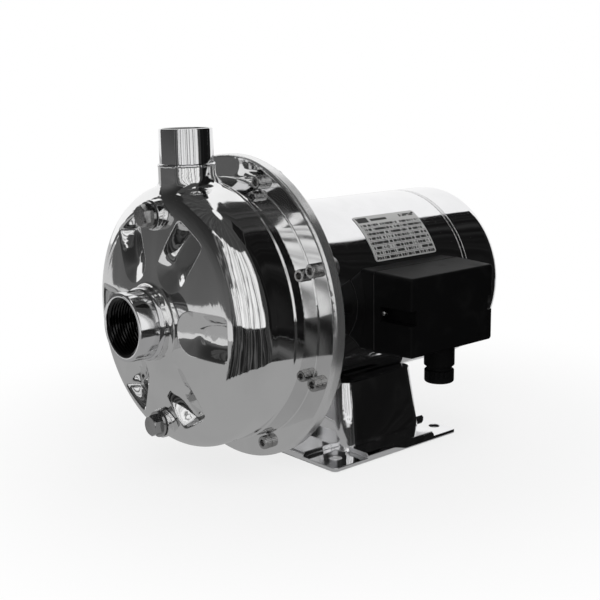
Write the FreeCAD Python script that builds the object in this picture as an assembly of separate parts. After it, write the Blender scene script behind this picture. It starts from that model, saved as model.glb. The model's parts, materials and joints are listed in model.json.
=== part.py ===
"""Close-coupled centrifugal pump: pressed steel casing, closed impeller, motor, terminal box and foot.

The shaft runs along X, from the suction socket at -X to the fan cover at +X. +Z is up. The origin lies on
the floor, in the middle of the four holes of the foot. All lengths are in millimetres.
"""
import FreeCAD
import Part
import math
import os

os.makedirs("parts", exist_ok=True)

V = FreeCAD.Vector
ALONG = V(1, 0, 0)
AGAINST = V(-1, 0, 0)
UP = V(0, 0, 1)
DOWN = V(0, 0, -1)
FRONT = V(0, -1, 0)
REAR = V(0, 1, 0)

# Fits and clearances, and how far a cut runs past the body
seat_gap = 0.05
thread_gap = 0.07
running_gap = 0.3
screw_play = 0.4
overrun = 5.0
near = 0.1
end_chamfer = 0.8

# Where the shaft lies and where the casing flange stands
shaft_height = 118.0
flange_x = -103.0

# Pressed pump casing
sheet = 2.0
casing_depth = 72.5
casing_radius = 96.5
dome_radius = 350.0
shoulder_radius = 24.0
step_setback = 20.5
pilot_rise = 0.9
step_run = 0.8
flange_width = 16.6
lip_depth = 9.0
lip_corner = 2.4
pilot_fillet = 0.8
pilot_radius = casing_radius + pilot_rise
flange_radius = pilot_radius + flange_width
crown_x = flange_x - casing_depth
step_x = flange_x - step_setback
dome_centre_x = crown_x + dome_radius
shoulder_centre_r = casing_radius - shoulder_radius
shoulder_lean = math.asin(shoulder_centre_r / (dome_radius - shoulder_radius))
shoulder_centre_x = dome_centre_x - (dome_radius - shoulder_radius) * math.cos(shoulder_lean)

# Pressed pockets that stiffen the front of the casing
pocket_count = 6
pocket_first_angle = -1.5
pocket_inner = 31.0
pocket_knee = 48.0
pocket_outer = 78.0
pocket_half_width = 15.5
pocket_knee_depth = 6.0
pocket_depth = 12.5
pocket_nose_slope = 0.45
pocket_side_slope = 2.2
pocket_wall_slope = 3.0
pocket_wall_share = 1.6
pocket_round = 2.5
pocket_corner = 4.0
pocket_rim_rise = 0.6
pocket_margin = 4.0
pocket_ramp_rows = 13
pocket_wall_rows = 9
pocket_columns = 25

# Suction socket, G 1 1/4, on a drawn neck
suction_radius = 24.5
suction_reach = 23.1
suction_bore = 19.476
suction_spigot = 15.5
neck_sheet = 2.0
neck_length = 5.0
neck_root = 12.0
neck_fillet = 3.0
wear_ring_wall = 2.2
wear_ring_length = 11.0

# Discharge socket, G 1, on a drawn hood
discharge_setback = 35.6
discharge_rise = 37.5
discharge_radius = 19.1
discharge_bore = 15.146
hood_rise = 11.5
hood_wall = 1.25
hood_root = 60.0
hood_fillet = 9.0
discharge_spigot = 9.0
discharge_x = flange_x - discharge_setback
discharge_top = casing_radius + discharge_rise
hood_top = casing_radius + hood_rise
hood_radius = discharge_radius + hood_wall

# Priming and drain plugs, G 1/4
plug_inset = 20.8
plug_thread = 6.58
plug_hex = 14.0
plug_head = 6.0
plug_collar = 9.5
plug_collar_thick = 1.8
plug_shank = 8.5
plug_crown_step = 0.2
plug_gasket_step = 0.3
plug_gasket_play = 0.15
plug_gasket_thick = 1.2
boss_radius = 10.5
boss_height = 4.5
boss_length = 16.0
boss_face_x = crown_x + boss_height
plug_offset = casing_radius - plug_inset

# Flange screws, M6 socket heads
screw_count = 8
screw_inset = 10.5
screw_radius = 3.0
screw_head_radius = 5.0
screw_head_height = 6.0
screw_socket = 5.0
screw_socket_depth = 3.2
screw_head_edge = 0.6
screw_length = 16.0
screw_first_angle = 22.5
screw_circle = flange_radius - screw_inset

# Casing cover and its ring seal
cover_sheet = 1.5
cover_depth = 12.0
o_ring_radius = 2.05
seal_cup_radius = 17.8
seal_cup_depth = 9.0
seal_cup_opening = 2.5
seal_cup_wall = 2.5
seal_cup_floor = 1.0
cover_bend = 3.0
cover_rim_edge = 0.6
cover_x = flange_x + sheet
cover_face_x = cover_x - cover_depth
pilot_inside = pilot_radius - sheet
cover_pilot = pilot_inside - 2 * o_ring_radius - 2 * seat_gap

# Bracket between pump and motor
bracket_rim = 5.2
bracket_x = cover_x + cover_sheet
bracket_back_x = bracket_x + bracket_rim
bracket_boss = 7.5
bracket_boss_length = 6.0
bracket_rib_count = 8
bracket_rib = 5.0
shell_setback = 4.3
spigot_length = 8.0
spigot_wall = 5.0
spigot_root = 8.0
housing_wall = 7.0
housing_draft = 2.0
bracket_step = 1.5
bracket_shaft_room = 3.5
slinger_room = 6.0
cast_edge = 1.0

# Motor
shell_radius = 73.25
shell_sheet = 1.75
shell_length = 168.85
shell_x = bracket_back_x + shell_setback
shell_end_x = shell_x + shell_length
core_length = 75.0
core_setback = 48.0
stator_bore = 40.0
air_gap = 0.5
winding_length = 17.0
winding_inner = 43.0
winding_gap = 2.1
winding_round = 4.0
end_ring_length = 7.0
end_ring_inner = 28.0
end_ring_setback = 3.0
stub_length = 6.0
stub_thick = 2.2
stub_count = 8
rod_inset = 6.0
rod_radius = 2.4
rod_head = 8.0
rod_head_height = 3.5
rod_count = 4
rod_first_angle = 45.0
core_x = shell_x + core_setback
core_end_x = core_x + core_length
shell_bore = shell_radius - shell_sheet
rod_circle = shell_bore - rod_inset
winding_outer = rod_circle - rod_radius - winding_gap

# Rear end shield and fan cover
shield_rim = 4.05
shield_web = 5.0
shield_spigot = 5.0
shield_rim_wall = 6.0
shield_rim_root = 9.0
shield_shaft_room = 4.0
shield_rib = 4.0
shield_rib_count = 8
fan_cover_sheet = 1.2
fan_cover_length = 42.1
fan_cover_round = 12.0
fan_cover_overlap = 6.0
grille_rings = 3
grille_spokes = 20
grille_first = 16.0
grille_pitch = 13.5
grille_length = 10.0
grille_slot = 3.0
cover_x_start = shell_end_x + shield_rim
cover_x_end = cover_x_start + fan_cover_length
shield_web_x = shell_end_x - 7.0

# Cooling fan
fan_tip_gap = 13.25
fan_blades = 9
fan_blade_thick = 2.2
fan_width = 17.0
fan_hub = 14.0
fan_plate = 2.4
fan_x = cover_x_start + 4.0
fan_radius = shell_radius - fan_tip_gap

# Shaft steps
nut_seat_radius = 5.0
impeller_seat_radius = 7.0
seal_seat_radius = 8.5
rotor_seat_radius = 13.0
fan_seat_radius = 8.0
shaft_tip = 0.5
shaft_tail = 3.0
clip_thick = 1.2
clip_groove = 1.0
clip_rise = 2.4
clip_mouth = 4.0

# Ball bearings: bore radius, outside radius, width, ball radius and number of balls
front_bearing = {"bore": 10.0, "outside": 23.5, "width": 14.0, "ball": 3.97, "count": 8}
rear_bearing = {"bore": 8.5, "outside": 20.0, "width": 12.0, "ball": 3.37, "count": 7}
front_bearing_x = shell_x
rear_bearing_x = shell_end_x - 20.5
ball_gap = 0.25
race_share = 0.3
cage_share = 0.55
cage_half_thick = 0.9
cage_play = 0.12
spring_thick = 1.4
spring_width = 3.2

# Impeller
impeller_radius = 72.0
impeller_sheet = 1.5
impeller_back_x = flange_x - 33.0
impeller_exit_width = 9.0
impeller_hub_radius = 14.0
impeller_hub_length = 15.0
impeller_hub_step = 1.0
impeller_hub_taper = 3.0
impeller_root = 2.0
eye_radius = suction_bore + 0.6
eye_sheet = 1.5
shroud_rise = 9.5
shroud_slope = 3.5
shroud_turn = 9.0
shroud_round = 12.0
shroud_corner = 3.0
vane_count = 6
vane_thick = 1.6
vane_inner = 25.0
vane_sweep = 62.0
vane_curve = 1.35
vane_rise = 2.5
vane_margin = 4.0
impeller_nut_flats = 17.0
impeller_nut_height = 9.0
washer_thick = 2.0
washer_radius = 10.8
washer_play = 0.2
key_width = 4.0
key_length = 12.0

# Shaft seal
seal_face_radius = 14.0
seal_face_length = 4.0
seal_seat_length = 6.0
seal_play = 0.6
seal_lip = 3.5
seal_ring_play = 0.4
bellows_folds = 3
bellows_fold_depth = 2.5
slinger_radius = 18.0
slinger_thick = 3.0
slinger_setback = 0.5
slinger_root = 0.7

# Terminal box on the -Y side
box_left = -33.4
box_right = 56.4
box_drop = 31.4
box_rise = 26.8
box_draft = 1.5
box_wall = 2.5
box_edge = 1.6
box_corner = 2.5
box_least_corner = 0.8
pad_thick = 2.95
pad_wrap = 15.25
base_thick = 5.2
base_floor = 2.0
base_lip = 1.5
gasket_thick = 1.0
gasket_inset = 0.3
box_cover_depth = 35.6
channel_height = 11.0
channel_depth = 5.5
channel_length = 29.5
box_screw_radius = 2.0
box_screw_head = 2.45
box_screw_head_height = 2.4
box_screw_edge = 0.9
box_screw_post = 3.6
lead_window_length = 30.0
lead_window_height = 22.0
lead_window_x = 11.0
window_step = 2.0
box_low = shaft_height - box_drop
box_high = shaft_height + box_rise
pad_y = -shell_radius - pad_thick
base_y = pad_y - base_thick
cover_y = base_y - gasket_thick
box_face_y = cover_y - box_cover_depth
channel_floor_y = box_face_y + channel_length
channel_z = (box_low + box_high) / 2

# Terminal board
board_length = 52.0
board_height = 34.0
board_thick = 4.0
board_wall = 1.6
board_wall_rise = 6.0
stud_rows = 2
stud_columns = 3
stud_pitch_x = 15.0
stud_pitch_z = 16.0
stud_radius = 2.0
stud_length = 14.0
stud_nut_flats = 7.0
stud_nut_height = 3.2

# Cable gland under the box, for an M16 entry
gland_x = 19.4
gland_setback = 20.0
gland_radius = 11.65
gland_body_length = 16.0
gland_neck_radius = 9.8
gland_neck_length = 3.5
gland_nut_radius = 11.3
gland_nut_length = 9.5
gland_nut_ribs = 18
gland_nut_edge = 1.6
gland_nut_play = 0.4
gland_flute = 0.9
gland_flute_length = 5.5
gland_flute_setout = 0.35
gland_neck_hold = 4.0
gland_edge = 1.0
gland_seal_depth = 6.0
gland_shank_rest = 3.0
gland_shank = 7.9
gland_entry = 6.0
gland_seal_wall = 1.6
locknut_flats = 22.0
locknut_thick = 4.0
gland_y = box_face_y + gland_setback
gland_seat = box_low - box_draft * (gland_y + gland_radius - box_face_y) / (cover_y - box_face_y)

# Pressed foot
foot_front = -71.9
foot_back = 63.3
foot_half_width = 78.5
foot_sheet = 3.0
ledge_height = 6.5
foot_corner = 4.0
pedestal_front = -42.5
pedestal_back = 43.5
pedestal_half = 61.0
saddle_drop = 62.5
pedestal_draft = 8.5
pedestal_side_draft = 3.0
pedestal_corner = 11.0
front_pad_length = 34.0
back_pad_length = 27.0
pad_width = 36.0
ledge_chamfer = 1.8
hole_spacing_x = 111.0
hole_spacing_y = 123.0
foot_hole = 4.5
pedestal_top = shaft_height - saddle_drop


def point(x, radius, angle):
    """A point at a distance from the shaft line; the angle runs from -Y towards +Z, in degrees."""
    turn = math.radians(angle)
    return V(x, -radius * math.cos(turn), shaft_height + radius * math.sin(turn))


def turned(shape, angle):
    """A copy of the shape, turned about the shaft line from -Y towards +Z."""
    copy = shape.copy()
    copy.rotate(V(0, 0, shaft_height), AGAINST, angle)
    return copy


def pattern(shape, count, first=0.0):
    """Copies of the shape, spread evenly about the shaft line."""
    return [turned(shape, first + step * 360.0 / count) for step in range(count)]


def disc(x0, x1, radius):
    """A cylinder on the shaft line."""
    return Part.makeCylinder(radius, x1 - x0, V(x0, 0, shaft_height), ALONG)


def ring(x0, x1, outer, inner):
    """A plain ring on the shaft line."""
    return disc(x0, x1, outer).cut(disc(x0, x1, inner))


def section_point(pair):
    """A point of a lathe section, given as distance along the shaft and radius."""
    return V(pair[0], 0, shaft_height + pair[1])


def rounded_wire(points, radii):
    """A closed wire through points in one plane, with tangent arcs at the corners that have a radius."""
    starts = []
    arcs = []
    ends = []
    for index, corner in enumerate(points):
        radius = radii.get(index, 0.0)
        back = (points[index - 1] - corner).normalize()
        ahead = (points[(index + 1) % len(points)] - corner).normalize()
        if radius <= 0:
            starts.append(corner)
            ends.append(corner)
            arcs.append(None)
            continue
        half = back.getAngle(ahead) / 2
        reach = radius / math.tan(half)
        middle = (back + ahead).normalize()
        centre = corner + middle * (radius / math.sin(half))
        starts.append(corner + back * reach)
        ends.append(corner + ahead * reach)
        arcs.append(Part.Arc(starts[-1], centre - middle * radius, ends[-1]).toShape())
    edges = []
    for index in range(len(points)):
        if arcs[index] is not None:
            edges.append(arcs[index])
        following = (index + 1) % len(points)
        if ends[index].distanceToPoint(starts[following]) > 1e-6:
            edges.append(Part.LineSegment(ends[index], starts[following]).toShape())
    return Part.Wire(Part.__sortEdges__(edges))


def lathe(pairs, radii=None):
    """A solid turned about the shaft line from a closed section of (x, radius) pairs."""
    wire = rounded_wire([section_point(pair) for pair in pairs], radii or {})
    return Part.Face(wire).revolve(V(0, 0, shaft_height), ALONG, 360)


def hex_bar(flats, base, axis, length):
    """A hexagonal prism."""
    corner = flats / math.sqrt(3)
    side = axis.cross(V(0, 1, 0) if abs(axis.y) < 0.5 else V(0, 0, 1)).normalize()
    other = axis.cross(side)
    corners = []
    for step in range(6):
        turn = math.radians(60 * step)
        corners.append(base + side * (corner * math.cos(turn)) + other * (corner * math.sin(turn)))
    wire = Part.makePolygon(corners + corners[:1])
    return Part.Face(wire).extrude(axis * length)


def rounded_slab(x0, x1, y0, y1, z, corner):
    """The outline of a rectangle with round corners, level at height z."""
    corners = [V(x0, y0, z), V(x1, y0, z), V(x1, y1, z), V(x0, y1, z)]
    return rounded_wire(corners, {index: corner for index in range(4)})


def outwards(reach):
    """The way from the shaft line out to a pitch circle, towards -Y."""
    return V(0, -reach, 0)


def edges_where(shape, test):
    """The edges of a shape whose middle passes the test."""
    found = []
    for edge in shape.Edges:
        middle = edge.valueAt((edge.FirstParameter + edge.LastParameter) / 2)
        if test(middle, edge):
            found.append(edge)
    return found


def shaft_distance(place):
    """How far a point is from the shaft line."""
    return math.hypot(place.y, place.z - shaft_height)


def save(name, shape):
    """Writes one node; a list becomes a group of separate solids."""
    body = Part.makeCompound(shape) if isinstance(shape, list) else shape
    body.exportStep("parts/" + name + ".step")


def bowl(inset):
    """The filled form of the casing, or of its inside when the inset is the sheet's thickness."""
    dome = dome_radius - inset
    shoulder = shoulder_radius - inset
    wall = casing_radius - inset

    def on_dome(angle):
        return section_point((dome_centre_x - dome * math.cos(angle), dome * math.sin(angle)))

    def on_shoulder(angle):
        x = shoulder_centre_x - shoulder * math.cos(angle)
        return section_point((x, shoulder_centre_r + shoulder * math.sin(angle)))

    corners = [section_point((shoulder_centre_x, wall)), section_point((flange_x + sheet, wall))]
    corners += [section_point((flange_x + sheet, 0)), on_dome(0)]
    edges = [Part.LineSegment(a, b).toShape() for a, b in zip(corners, corners[1:])]
    edges.append(Part.Arc(on_dome(0), on_dome(shoulder_lean / 2), on_dome(shoulder_lean)).toShape())
    middle = (shoulder_lean + math.pi / 2) / 2
    shoulder_points = [on_shoulder(angle) for angle in (shoulder_lean, middle, math.pi / 2)]
    edges.append(Part.Arc(*shoulder_points).toShape())
    face = Part.Face(Part.Wire(Part.__sortEdges__(edges)))
    return face.revolve(V(0, 0, shaft_height), ALONG, 360)


def pilot_band(inset):
    """The wider last stretch of the casing wall, in which the cover sits."""
    start = step_x + inset
    end = flange_x + sheet
    core = casing_radius - inset - 1
    return lathe(
        [
            (start, core),
            (start, casing_radius - inset),
            (start + step_run, pilot_radius - inset),
            (end, pilot_radius - inset),
            (end, core),
        ]
    )


def front_x(reach, inset):
    """Where the front of the bowl lies at a distance from the shaft line."""
    dome = dome_radius - inset
    if reach < dome * math.sin(shoulder_lean):
        return dome_centre_x - math.sqrt(dome ** 2 - reach ** 2)
    shoulder = shoulder_radius - inset
    return shoulder_centre_x - math.sqrt(shoulder ** 2 - (reach - shoulder_centre_r) ** 2)


def rounded_lesser(first, second, softness):
    """The lesser of two values, with the corner between them rounded off."""
    return (first + second - math.hypot(first - second, softness)) / 2


def pocket_depth_at(reach, side, grow):
    """Depth of a pocket below the front: a widening ramp between two sides that ends at a steep wall."""
    share = min(max((reach - pocket_knee) / (pocket_outer - pocket_knee), 0.0), 1.0)
    nose_centre = pocket_inner + pocket_half_width
    side_slope = pocket_nose_slope + (pocket_side_slope - pocket_nose_slope) * share
    from_side = pocket_half_width - math.hypot(min(reach - nose_centre, 0.0), side)
    from_wall = (pocket_outer - reach) * pocket_wall_slope / side_slope
    first_ramp = pocket_knee_depth * (reach - pocket_inner) / (pocket_knee - pocket_inner)
    late_ramp = pocket_knee_depth + (pocket_depth - pocket_knee_depth) * share
    floor = rounded_lesser(first_ramp, late_ramp, pocket_nose_slope)
    flank = side_slope * rounded_lesser(from_side, from_wall, pocket_corner)
    flank += grow * (math.hypot(1, side_slope) - 1)
    softness = pocket_round * side_slope / pocket_side_slope
    depth = rounded_lesser(floor, flank, softness)
    return -rounded_lesser(-depth, pocket_rim_rise, softness)


def pocket_rows():
    """Distances from the shaft line at which a pocket's floor is set out, closest at the wall."""
    wall_foot = pocket_outer - pocket_wall_share * pocket_depth / pocket_wall_slope
    start = pocket_inner - pocket_margin
    rows = [start + (wall_foot - start) * step / pocket_ramp_rows for step in range(pocket_ramp_rows)]
    run = pocket_outer + pocket_margin - wall_foot
    return rows + [wall_foot + run * step / pocket_wall_rows for step in range(pocket_wall_rows + 1)]


def pocket(inset):
    """The space in front of one pressed pocket, pointing to -Y, above a smooth free-form floor."""
    half = pocket_half_width + pocket_margin
    grid = []
    for reach in pocket_rows():
        row = []
        for step in range(pocket_columns):
            side = half * (2 * step / (pocket_columns - 1) - 1)
            x = front_x(math.hypot(reach, side), inset) + pocket_depth_at(reach, side, inset)
            row.append(V(x, -reach, shaft_height + side))
        grid.append(row)
    floor = Part.BSplineSurface()
    floor.interpolate(grid)
    return floor.toShape().extrude(AGAINST * (casing_depth / 2))


def plug_centres():
    """Where the priming plug and the drain plug sit on the front of the casing."""
    return {"priming": shaft_height + plug_offset, "drain": shaft_height - plug_offset}


def pump_casing():
    """Deep-drawn bowl with neck, hood, bosses, pockets, screw flange and turned-back lip."""
    neck_x = crown_x - neck_length
    neck = disc(neck_x, crown_x + neck_root, suction_radius + seat_gap + neck_sheet)
    hood_base = V(discharge_x, 0, shaft_height + hood_root)
    hood = Part.makeCylinder(hood_radius, hood_top - hood_root, hood_base, UP)
    outside = bowl(0).fuse([neck, hood]).removeSplitter()

    def at_hood(middle, edge):
        reach = math.hypot(middle.x - discharge_x, middle.y)
        height = middle.z - shaft_height
        between = hood_root + overrun < height < hood_top - sheet
        return abs(reach - hood_radius) < near and between and edge.Curve.TypeId != "Part::GeomLine"

    def at_neck(middle, edge):
        reach = shaft_distance(middle)
        return abs(reach - suction_radius - seat_gap - neck_sheet) < near and middle.x > neck_x + 1

    outside = outside.makeFillet(hood_fillet, edges_where(outside, at_hood))
    outside = outside.makeFillet(neck_fillet, edges_where(outside, at_neck))
    bosses = []
    for height in plug_centres().values():
        bosses.append(Part.makeCylinder(boss_radius, boss_length, V(boss_face_x, 0, height), ALONG))
    outside = outside.fuse(bosses + [pilot_band(0)])
    outside = outside.cut(pattern(pocket(0), pocket_count, pocket_first_angle))
    throat = Part.makeCylinder(hood_radius - sheet, hood_top - hood_root + 1, hood_base, UP)
    inside = bowl(sheet).fuse([throat, pilot_band(sheet)])
    inside = inside.cut(pattern(pocket(sheet), pocket_count, pocket_first_angle))
    casing = outside.cut(inside)
    flange = lathe(
        [
            (flange_x, pilot_radius - sheet / 2),
            (flange_x, flange_radius),
            (flange_x + lip_depth, flange_radius),
            (flange_x + lip_depth, flange_radius - sheet),
            (flange_x + sheet, flange_radius - sheet),
            (flange_x + sheet, pilot_radius - sheet / 2),
        ],
        {1: lip_corner, 4: lip_corner - sheet},
    )
    casing = casing.fuse(flange).removeSplitter()

    def at_pilot(middle, edge):
        return abs(middle.x - flange_x) < near and abs(shaft_distance(middle) - pilot_radius) < near

    casing = casing.makeFillet(pilot_fillet, edges_where(casing, at_pilot))
    openings = [disc(neck_x - 1, crown_x + neck_root + overrun, suction_radius + seat_gap)]
    for height in plug_centres().values():
        base = V(boss_face_x - 1, 0, height)
        openings.append(Part.makeCylinder(plug_thread + thread_gap, boss_length + overrun, base, ALONG))
    hole = disc(flange_x - 1, flange_x + sheet + 1, screw_radius + screw_play)
    hole.translate(outwards(screw_circle))
    openings += pattern(hole, screw_count, screw_first_angle)
    return casing.cut(openings)


def suction_port():
    """Threaded socket whose inner end carries the wear ring."""
    start = crown_x - suction_reach
    end = crown_x + suction_spigot
    seat = end - wear_ring_length
    body = disc(start, end, suction_radius)
    body = body.makeChamfer(end_chamfer, edges_where(body, lambda middle, edge: middle.x < start + near))
    ring_seat = disc(seat, end, eye_running_radius() + wear_ring_wall)
    return body.cut([disc(start, seat, suction_bore), ring_seat])


def eye_running_radius():
    """Inside of the wear ring, a running gap wider than the eye of the impeller."""
    return eye_radius + running_gap


def wear_ring():
    """Ring round the eye of the impeller."""
    end = crown_x + suction_spigot
    outer = eye_running_radius() + wear_ring_wall - seat_gap
    return ring(end - wear_ring_length + seat_gap, end, outer, eye_running_radius())


def discharge_port():
    """Threaded socket that stands on the hood."""
    top = shaft_height + discharge_top
    foot = shaft_height + hood_top
    axis_foot = V(discharge_x, 0, foot)
    body = Part.makeCylinder(discharge_radius, top - foot, axis_foot, UP)
    body = body.makeChamfer(end_chamfer, edges_where(body, lambda middle, edge: middle.z > top - near))
    spigot_radius = hood_radius - sheet - seat_gap
    spigot = Part.makeCylinder(spigot_radius, discharge_spigot, axis_foot, DOWN)
    length = top - foot + discharge_spigot
    bore = Part.makeCylinder(discharge_bore, length, axis_foot - UP * discharge_spigot, UP)
    return body.fuse(spigot).cut(bore).removeSplitter()


def plug(height):
    """Hexagon plug with collar and shank."""
    collar_x = boss_face_x - plug_gasket_thick - plug_collar_thick
    line = V(0, 0, height)
    collar = Part.makeCylinder(plug_collar, plug_collar_thick, line + ALONG * collar_x, ALONG)
    head = hex_bar(plug_hex, line + ALONG * collar_x, AGAINST, plug_head)
    small = plug_hex / 2 - plug_crown_step
    crown = Part.makeCone(small, small + plug_head, plug_head, line + ALONG * (collar_x - plug_head), ALONG)
    length = plug_shank + plug_collar_thick
    shank = Part.makeCylinder(plug_thread, length, line + ALONG * collar_x, ALONG)
    tip = edges_where(shank, lambda middle, edge: middle.x > collar_x + length - near)
    return head.common(crown).fuse([collar, shank.makeChamfer(end_chamfer, tip)]).removeSplitter()


def plug_gasket(height):
    """Flat sealing ring under the collar of a plug."""
    base = V(boss_face_x - plug_gasket_thick, 0, height)
    outer = Part.makeCylinder(plug_collar - plug_gasket_step, plug_gasket_thick, base, ALONG)
    return outer.cut(Part.makeCylinder(plug_thread + plug_gasket_play, plug_gasket_thick, base, ALONG))


def flange_screws():
    """Socket head screws through the flange into the bracket."""
    start = flange_x - screw_head_height
    head = disc(start, flange_x, screw_head_radius)
    head = head.makeFillet(screw_head_edge, edges_where(head, lambda middle, edge: middle.x < start + near))
    socket = hex_bar(screw_socket, V(start, 0, shaft_height), ALONG, screw_socket_depth)
    shank = disc(flange_x - 1, flange_x + screw_length, screw_radius - seat_gap)
    screw = head.fuse(shank).cut(socket).removeSplitter()
    screw.translate(outwards(screw_circle))
    return pattern(screw, screw_count, screw_first_angle)


def casing_cover():
    """Pressed disc that closes the casing and holds the fixed half of the shaft seal."""
    rim = flange_radius - sheet - seat_gap
    cup = seal_cup_radius + cover_sheet
    cup_x = cover_face_x + seal_cup_depth
    body = lathe(
        [
            (cover_x, rim),
            (cover_x, cover_pilot),
            (cover_face_x, cover_pilot),
            (cover_face_x, seal_cup_radius),
            (cup_x, seal_cup_radius),
            (cup_x, seal_seat_radius + seal_cup_opening),
            (cup_x + cover_sheet, seal_seat_radius + seal_cup_opening),
            (cup_x + cover_sheet, cup),
            (cover_face_x + cover_sheet, cup),
            (cover_face_x + cover_sheet, cover_pilot - cover_sheet),
            (cover_x + cover_sheet, cover_pilot - cover_sheet),
            (cover_x + cover_sheet, rim),
        ],
        {0: cover_rim_edge, 2: cover_bend, 9: cover_bend - cover_sheet},
    )
    hole = disc(cover_x - 1, cover_x + cover_sheet + 1, screw_radius + screw_play)
    hole.translate(outwards(screw_circle))
    return body.cut(pattern(hole, screw_count, screw_first_angle))


def casing_o_ring():
    """Ring seal between the casing and the pilot of the cover."""
    centre = V(cover_x - o_ring_radius - running_gap, 0, shaft_height)
    return Part.makeTorus(cover_pilot + o_ring_radius + seat_gap, o_ring_radius, centre, ALONG)


def motor_bracket():
    """Cast bracket: screw rim, ribs, shell spigot and front bearing housing."""
    rim = flange_radius - sheet - seat_gap
    housing = front_bearing["outside"]
    housing_end = front_bearing_x + front_bearing["width"]
    shaft_hole = front_bearing["bore"] + bracket_shaft_room
    slinger_hole = slinger_radius + slinger_room
    body = lathe(
        [
            (bracket_x, slinger_hole),
            (bracket_x, rim),
            (bracket_back_x, rim),
            (bracket_back_x, shell_radius),
            (shell_x, shell_radius),
            (shell_x, shell_bore - seat_gap),
            (shell_x + spigot_length, shell_bore - seat_gap),
            (shell_x + spigot_length, shell_bore - spigot_wall),
            (bracket_back_x, shell_bore - spigot_root),
            (bracket_back_x, housing + housing_wall + housing_draft),
            (housing_end, housing + housing_wall),
            (housing_end, housing),
            (front_bearing_x, housing),
            (front_bearing_x, shaft_hole),
            (bracket_back_x - bracket_step, shaft_hole),
            (bracket_back_x - bracket_step, slinger_hole),
        ],
        {2: cast_edge, 10: bracket_step},
    )
    boss = disc(bracket_back_x - 1, bracket_back_x + bracket_boss_length, bracket_boss)
    boss.translate(outwards(screw_circle))
    inside_rim = disc(bracket_x, bracket_back_x + bracket_boss_length, rim)
    bosses = [copy.common(inside_rim) for copy in pattern(boss, screw_count, screw_first_angle)]
    rib_face = Part.Face(
        Part.makePolygon(
            [
                V(bracket_back_x - 1, -bracket_rib / 2, shaft_height + shell_bore),
                V(shell_x, -bracket_rib / 2, shaft_height + shell_bore),
                V(shell_x, -bracket_rib / 2, shaft_height + shell_radius),
                V(bracket_back_x, -bracket_rib / 2, shaft_height + screw_circle + 2),
                V(bracket_back_x - 1, -bracket_rib / 2, shaft_height + screw_circle + 2),
                V(bracket_back_x - 1, -bracket_rib / 2, shaft_height + shell_bore),
            ]
        )
    )
    rib = rib_face.extrude(V(0, bracket_rib, 0))
    ribs = pattern(rib, bracket_rib_count, 360.0 / bracket_rib_count / 2)
    clear = disc(shell_x, shell_x + overrun, flange_radius)
    ribs = [copy.cut(clear) for copy in ribs]
    hole = disc(bracket_x - 1, bracket_back_x + bracket_boss_length + 1, screw_radius)
    hole.translate(outwards(screw_circle))
    holes = pattern(hole, screw_count, screw_first_angle)
    tie = disc(bracket_x + bracket_step, shell_x + spigot_length + 1, rod_radius + seat_gap)
    tie.translate(outwards(rod_circle))
    ties = pattern(tie, rod_count, rod_first_angle)
    return body.fuse(bosses + ribs).cut(holes + ties).removeSplitter()


def seal_seat():
    """Fixed ceramic ring of the shaft seal."""
    end = seat_face_x() + seal_seat_length
    return ring(seat_face_x(), end, seal_cup_radius - seal_cup_wall, seal_seat_radius + seal_play)


def seat_face_x():
    """Plane where the two seal rings meet."""
    return cover_face_x + seal_cup_depth - seal_cup_floor - seal_seat_length


def seal_seat_cup():
    """Rubber cup that holds the fixed ring in the cover."""
    end = cover_face_x + seal_cup_depth - seat_gap
    inner = seal_cup_radius - seal_cup_wall
    return lathe(
        [
            (seat_face_x() + 1, inner),
            (seat_face_x() + 1, seal_cup_radius - seat_gap),
            (end, seal_cup_radius - seat_gap),
            (end, seal_seat_radius + seal_lip),
            (seat_face_x() + seal_seat_length, seal_seat_radius + seal_lip),
            (seat_face_x() + seal_seat_length, inner),
        ]
    )


def seal_ring():
    """Turning carbon ring of the shaft seal."""
    start = seat_face_x() - seal_face_length
    return ring(start, seat_face_x() - seat_gap, seal_face_radius, seal_seat_radius + seal_ring_play)


def seal_bellows():
    """Folded rubber bellows that drives and presses the carbon ring."""
    start = hub_back_x() + seat_gap
    end = seat_face_x() - seal_face_length
    fold = (end - start) / (2 * bellows_folds + 1)
    outer = []
    for step in range(bellows_folds + 1):
        outer.append((start + 2 * step * fold, seal_face_radius))
        outer.append((start + (2 * step + 1) * fold, seal_face_radius))
        if step < bellows_folds:
            outer.append((start + (2 * step + 1) * fold, seal_face_radius - bellows_fold_depth))
            outer.append((start + (2 * step + 2) * fold, seal_face_radius - bellows_fold_depth))
    pairs = outer + [(end, seal_seat_radius + seat_gap), (start, seal_seat_radius + seat_gap)]
    return lathe(pairs)


def hub_back_x():
    """Rear end of the impeller hub, which meets the step of the shaft."""
    return impeller_back_x + impeller_sheet + impeller_hub_step


def slinger():
    """Rubber ring that throws off any leak before it reaches the bearing."""
    start = bracket_x - slinger_setback
    return lathe(
        [
            (start, seal_seat_radius),
            (start, slinger_radius * slinger_root),
            (start + slinger_thick / 3, slinger_radius),
            (start + slinger_thick * 2 / 3, slinger_radius),
            (start + slinger_thick, slinger_radius * slinger_root),
            (start + slinger_thick, seal_seat_radius),
        ]
    )


def race_groove(x, bearing):
    """The channel that the balls run in."""
    pitch = (bearing["bore"] + bearing["outside"]) / 2
    centre = V(x + bearing["width"] / 2, 0, shaft_height)
    return Part.makeTorus(pitch, bearing["ball"] + ball_gap, centre, ALONG)


def outer_race(x, bearing):
    """Outer ring of a ball bearing."""
    wall = (bearing["outside"] - bearing["bore"]) * race_share
    body = ring(x, x + bearing["width"], bearing["outside"] - seat_gap, bearing["outside"] - wall)
    return body.cut(race_groove(x, bearing))


def inner_race(x, bearing):
    """Inner ring of a ball bearing."""
    wall = (bearing["outside"] - bearing["bore"]) * race_share
    body = ring(x, x + bearing["width"], bearing["bore"] + wall, bearing["bore"])
    return body.cut(race_groove(x, bearing))


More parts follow.
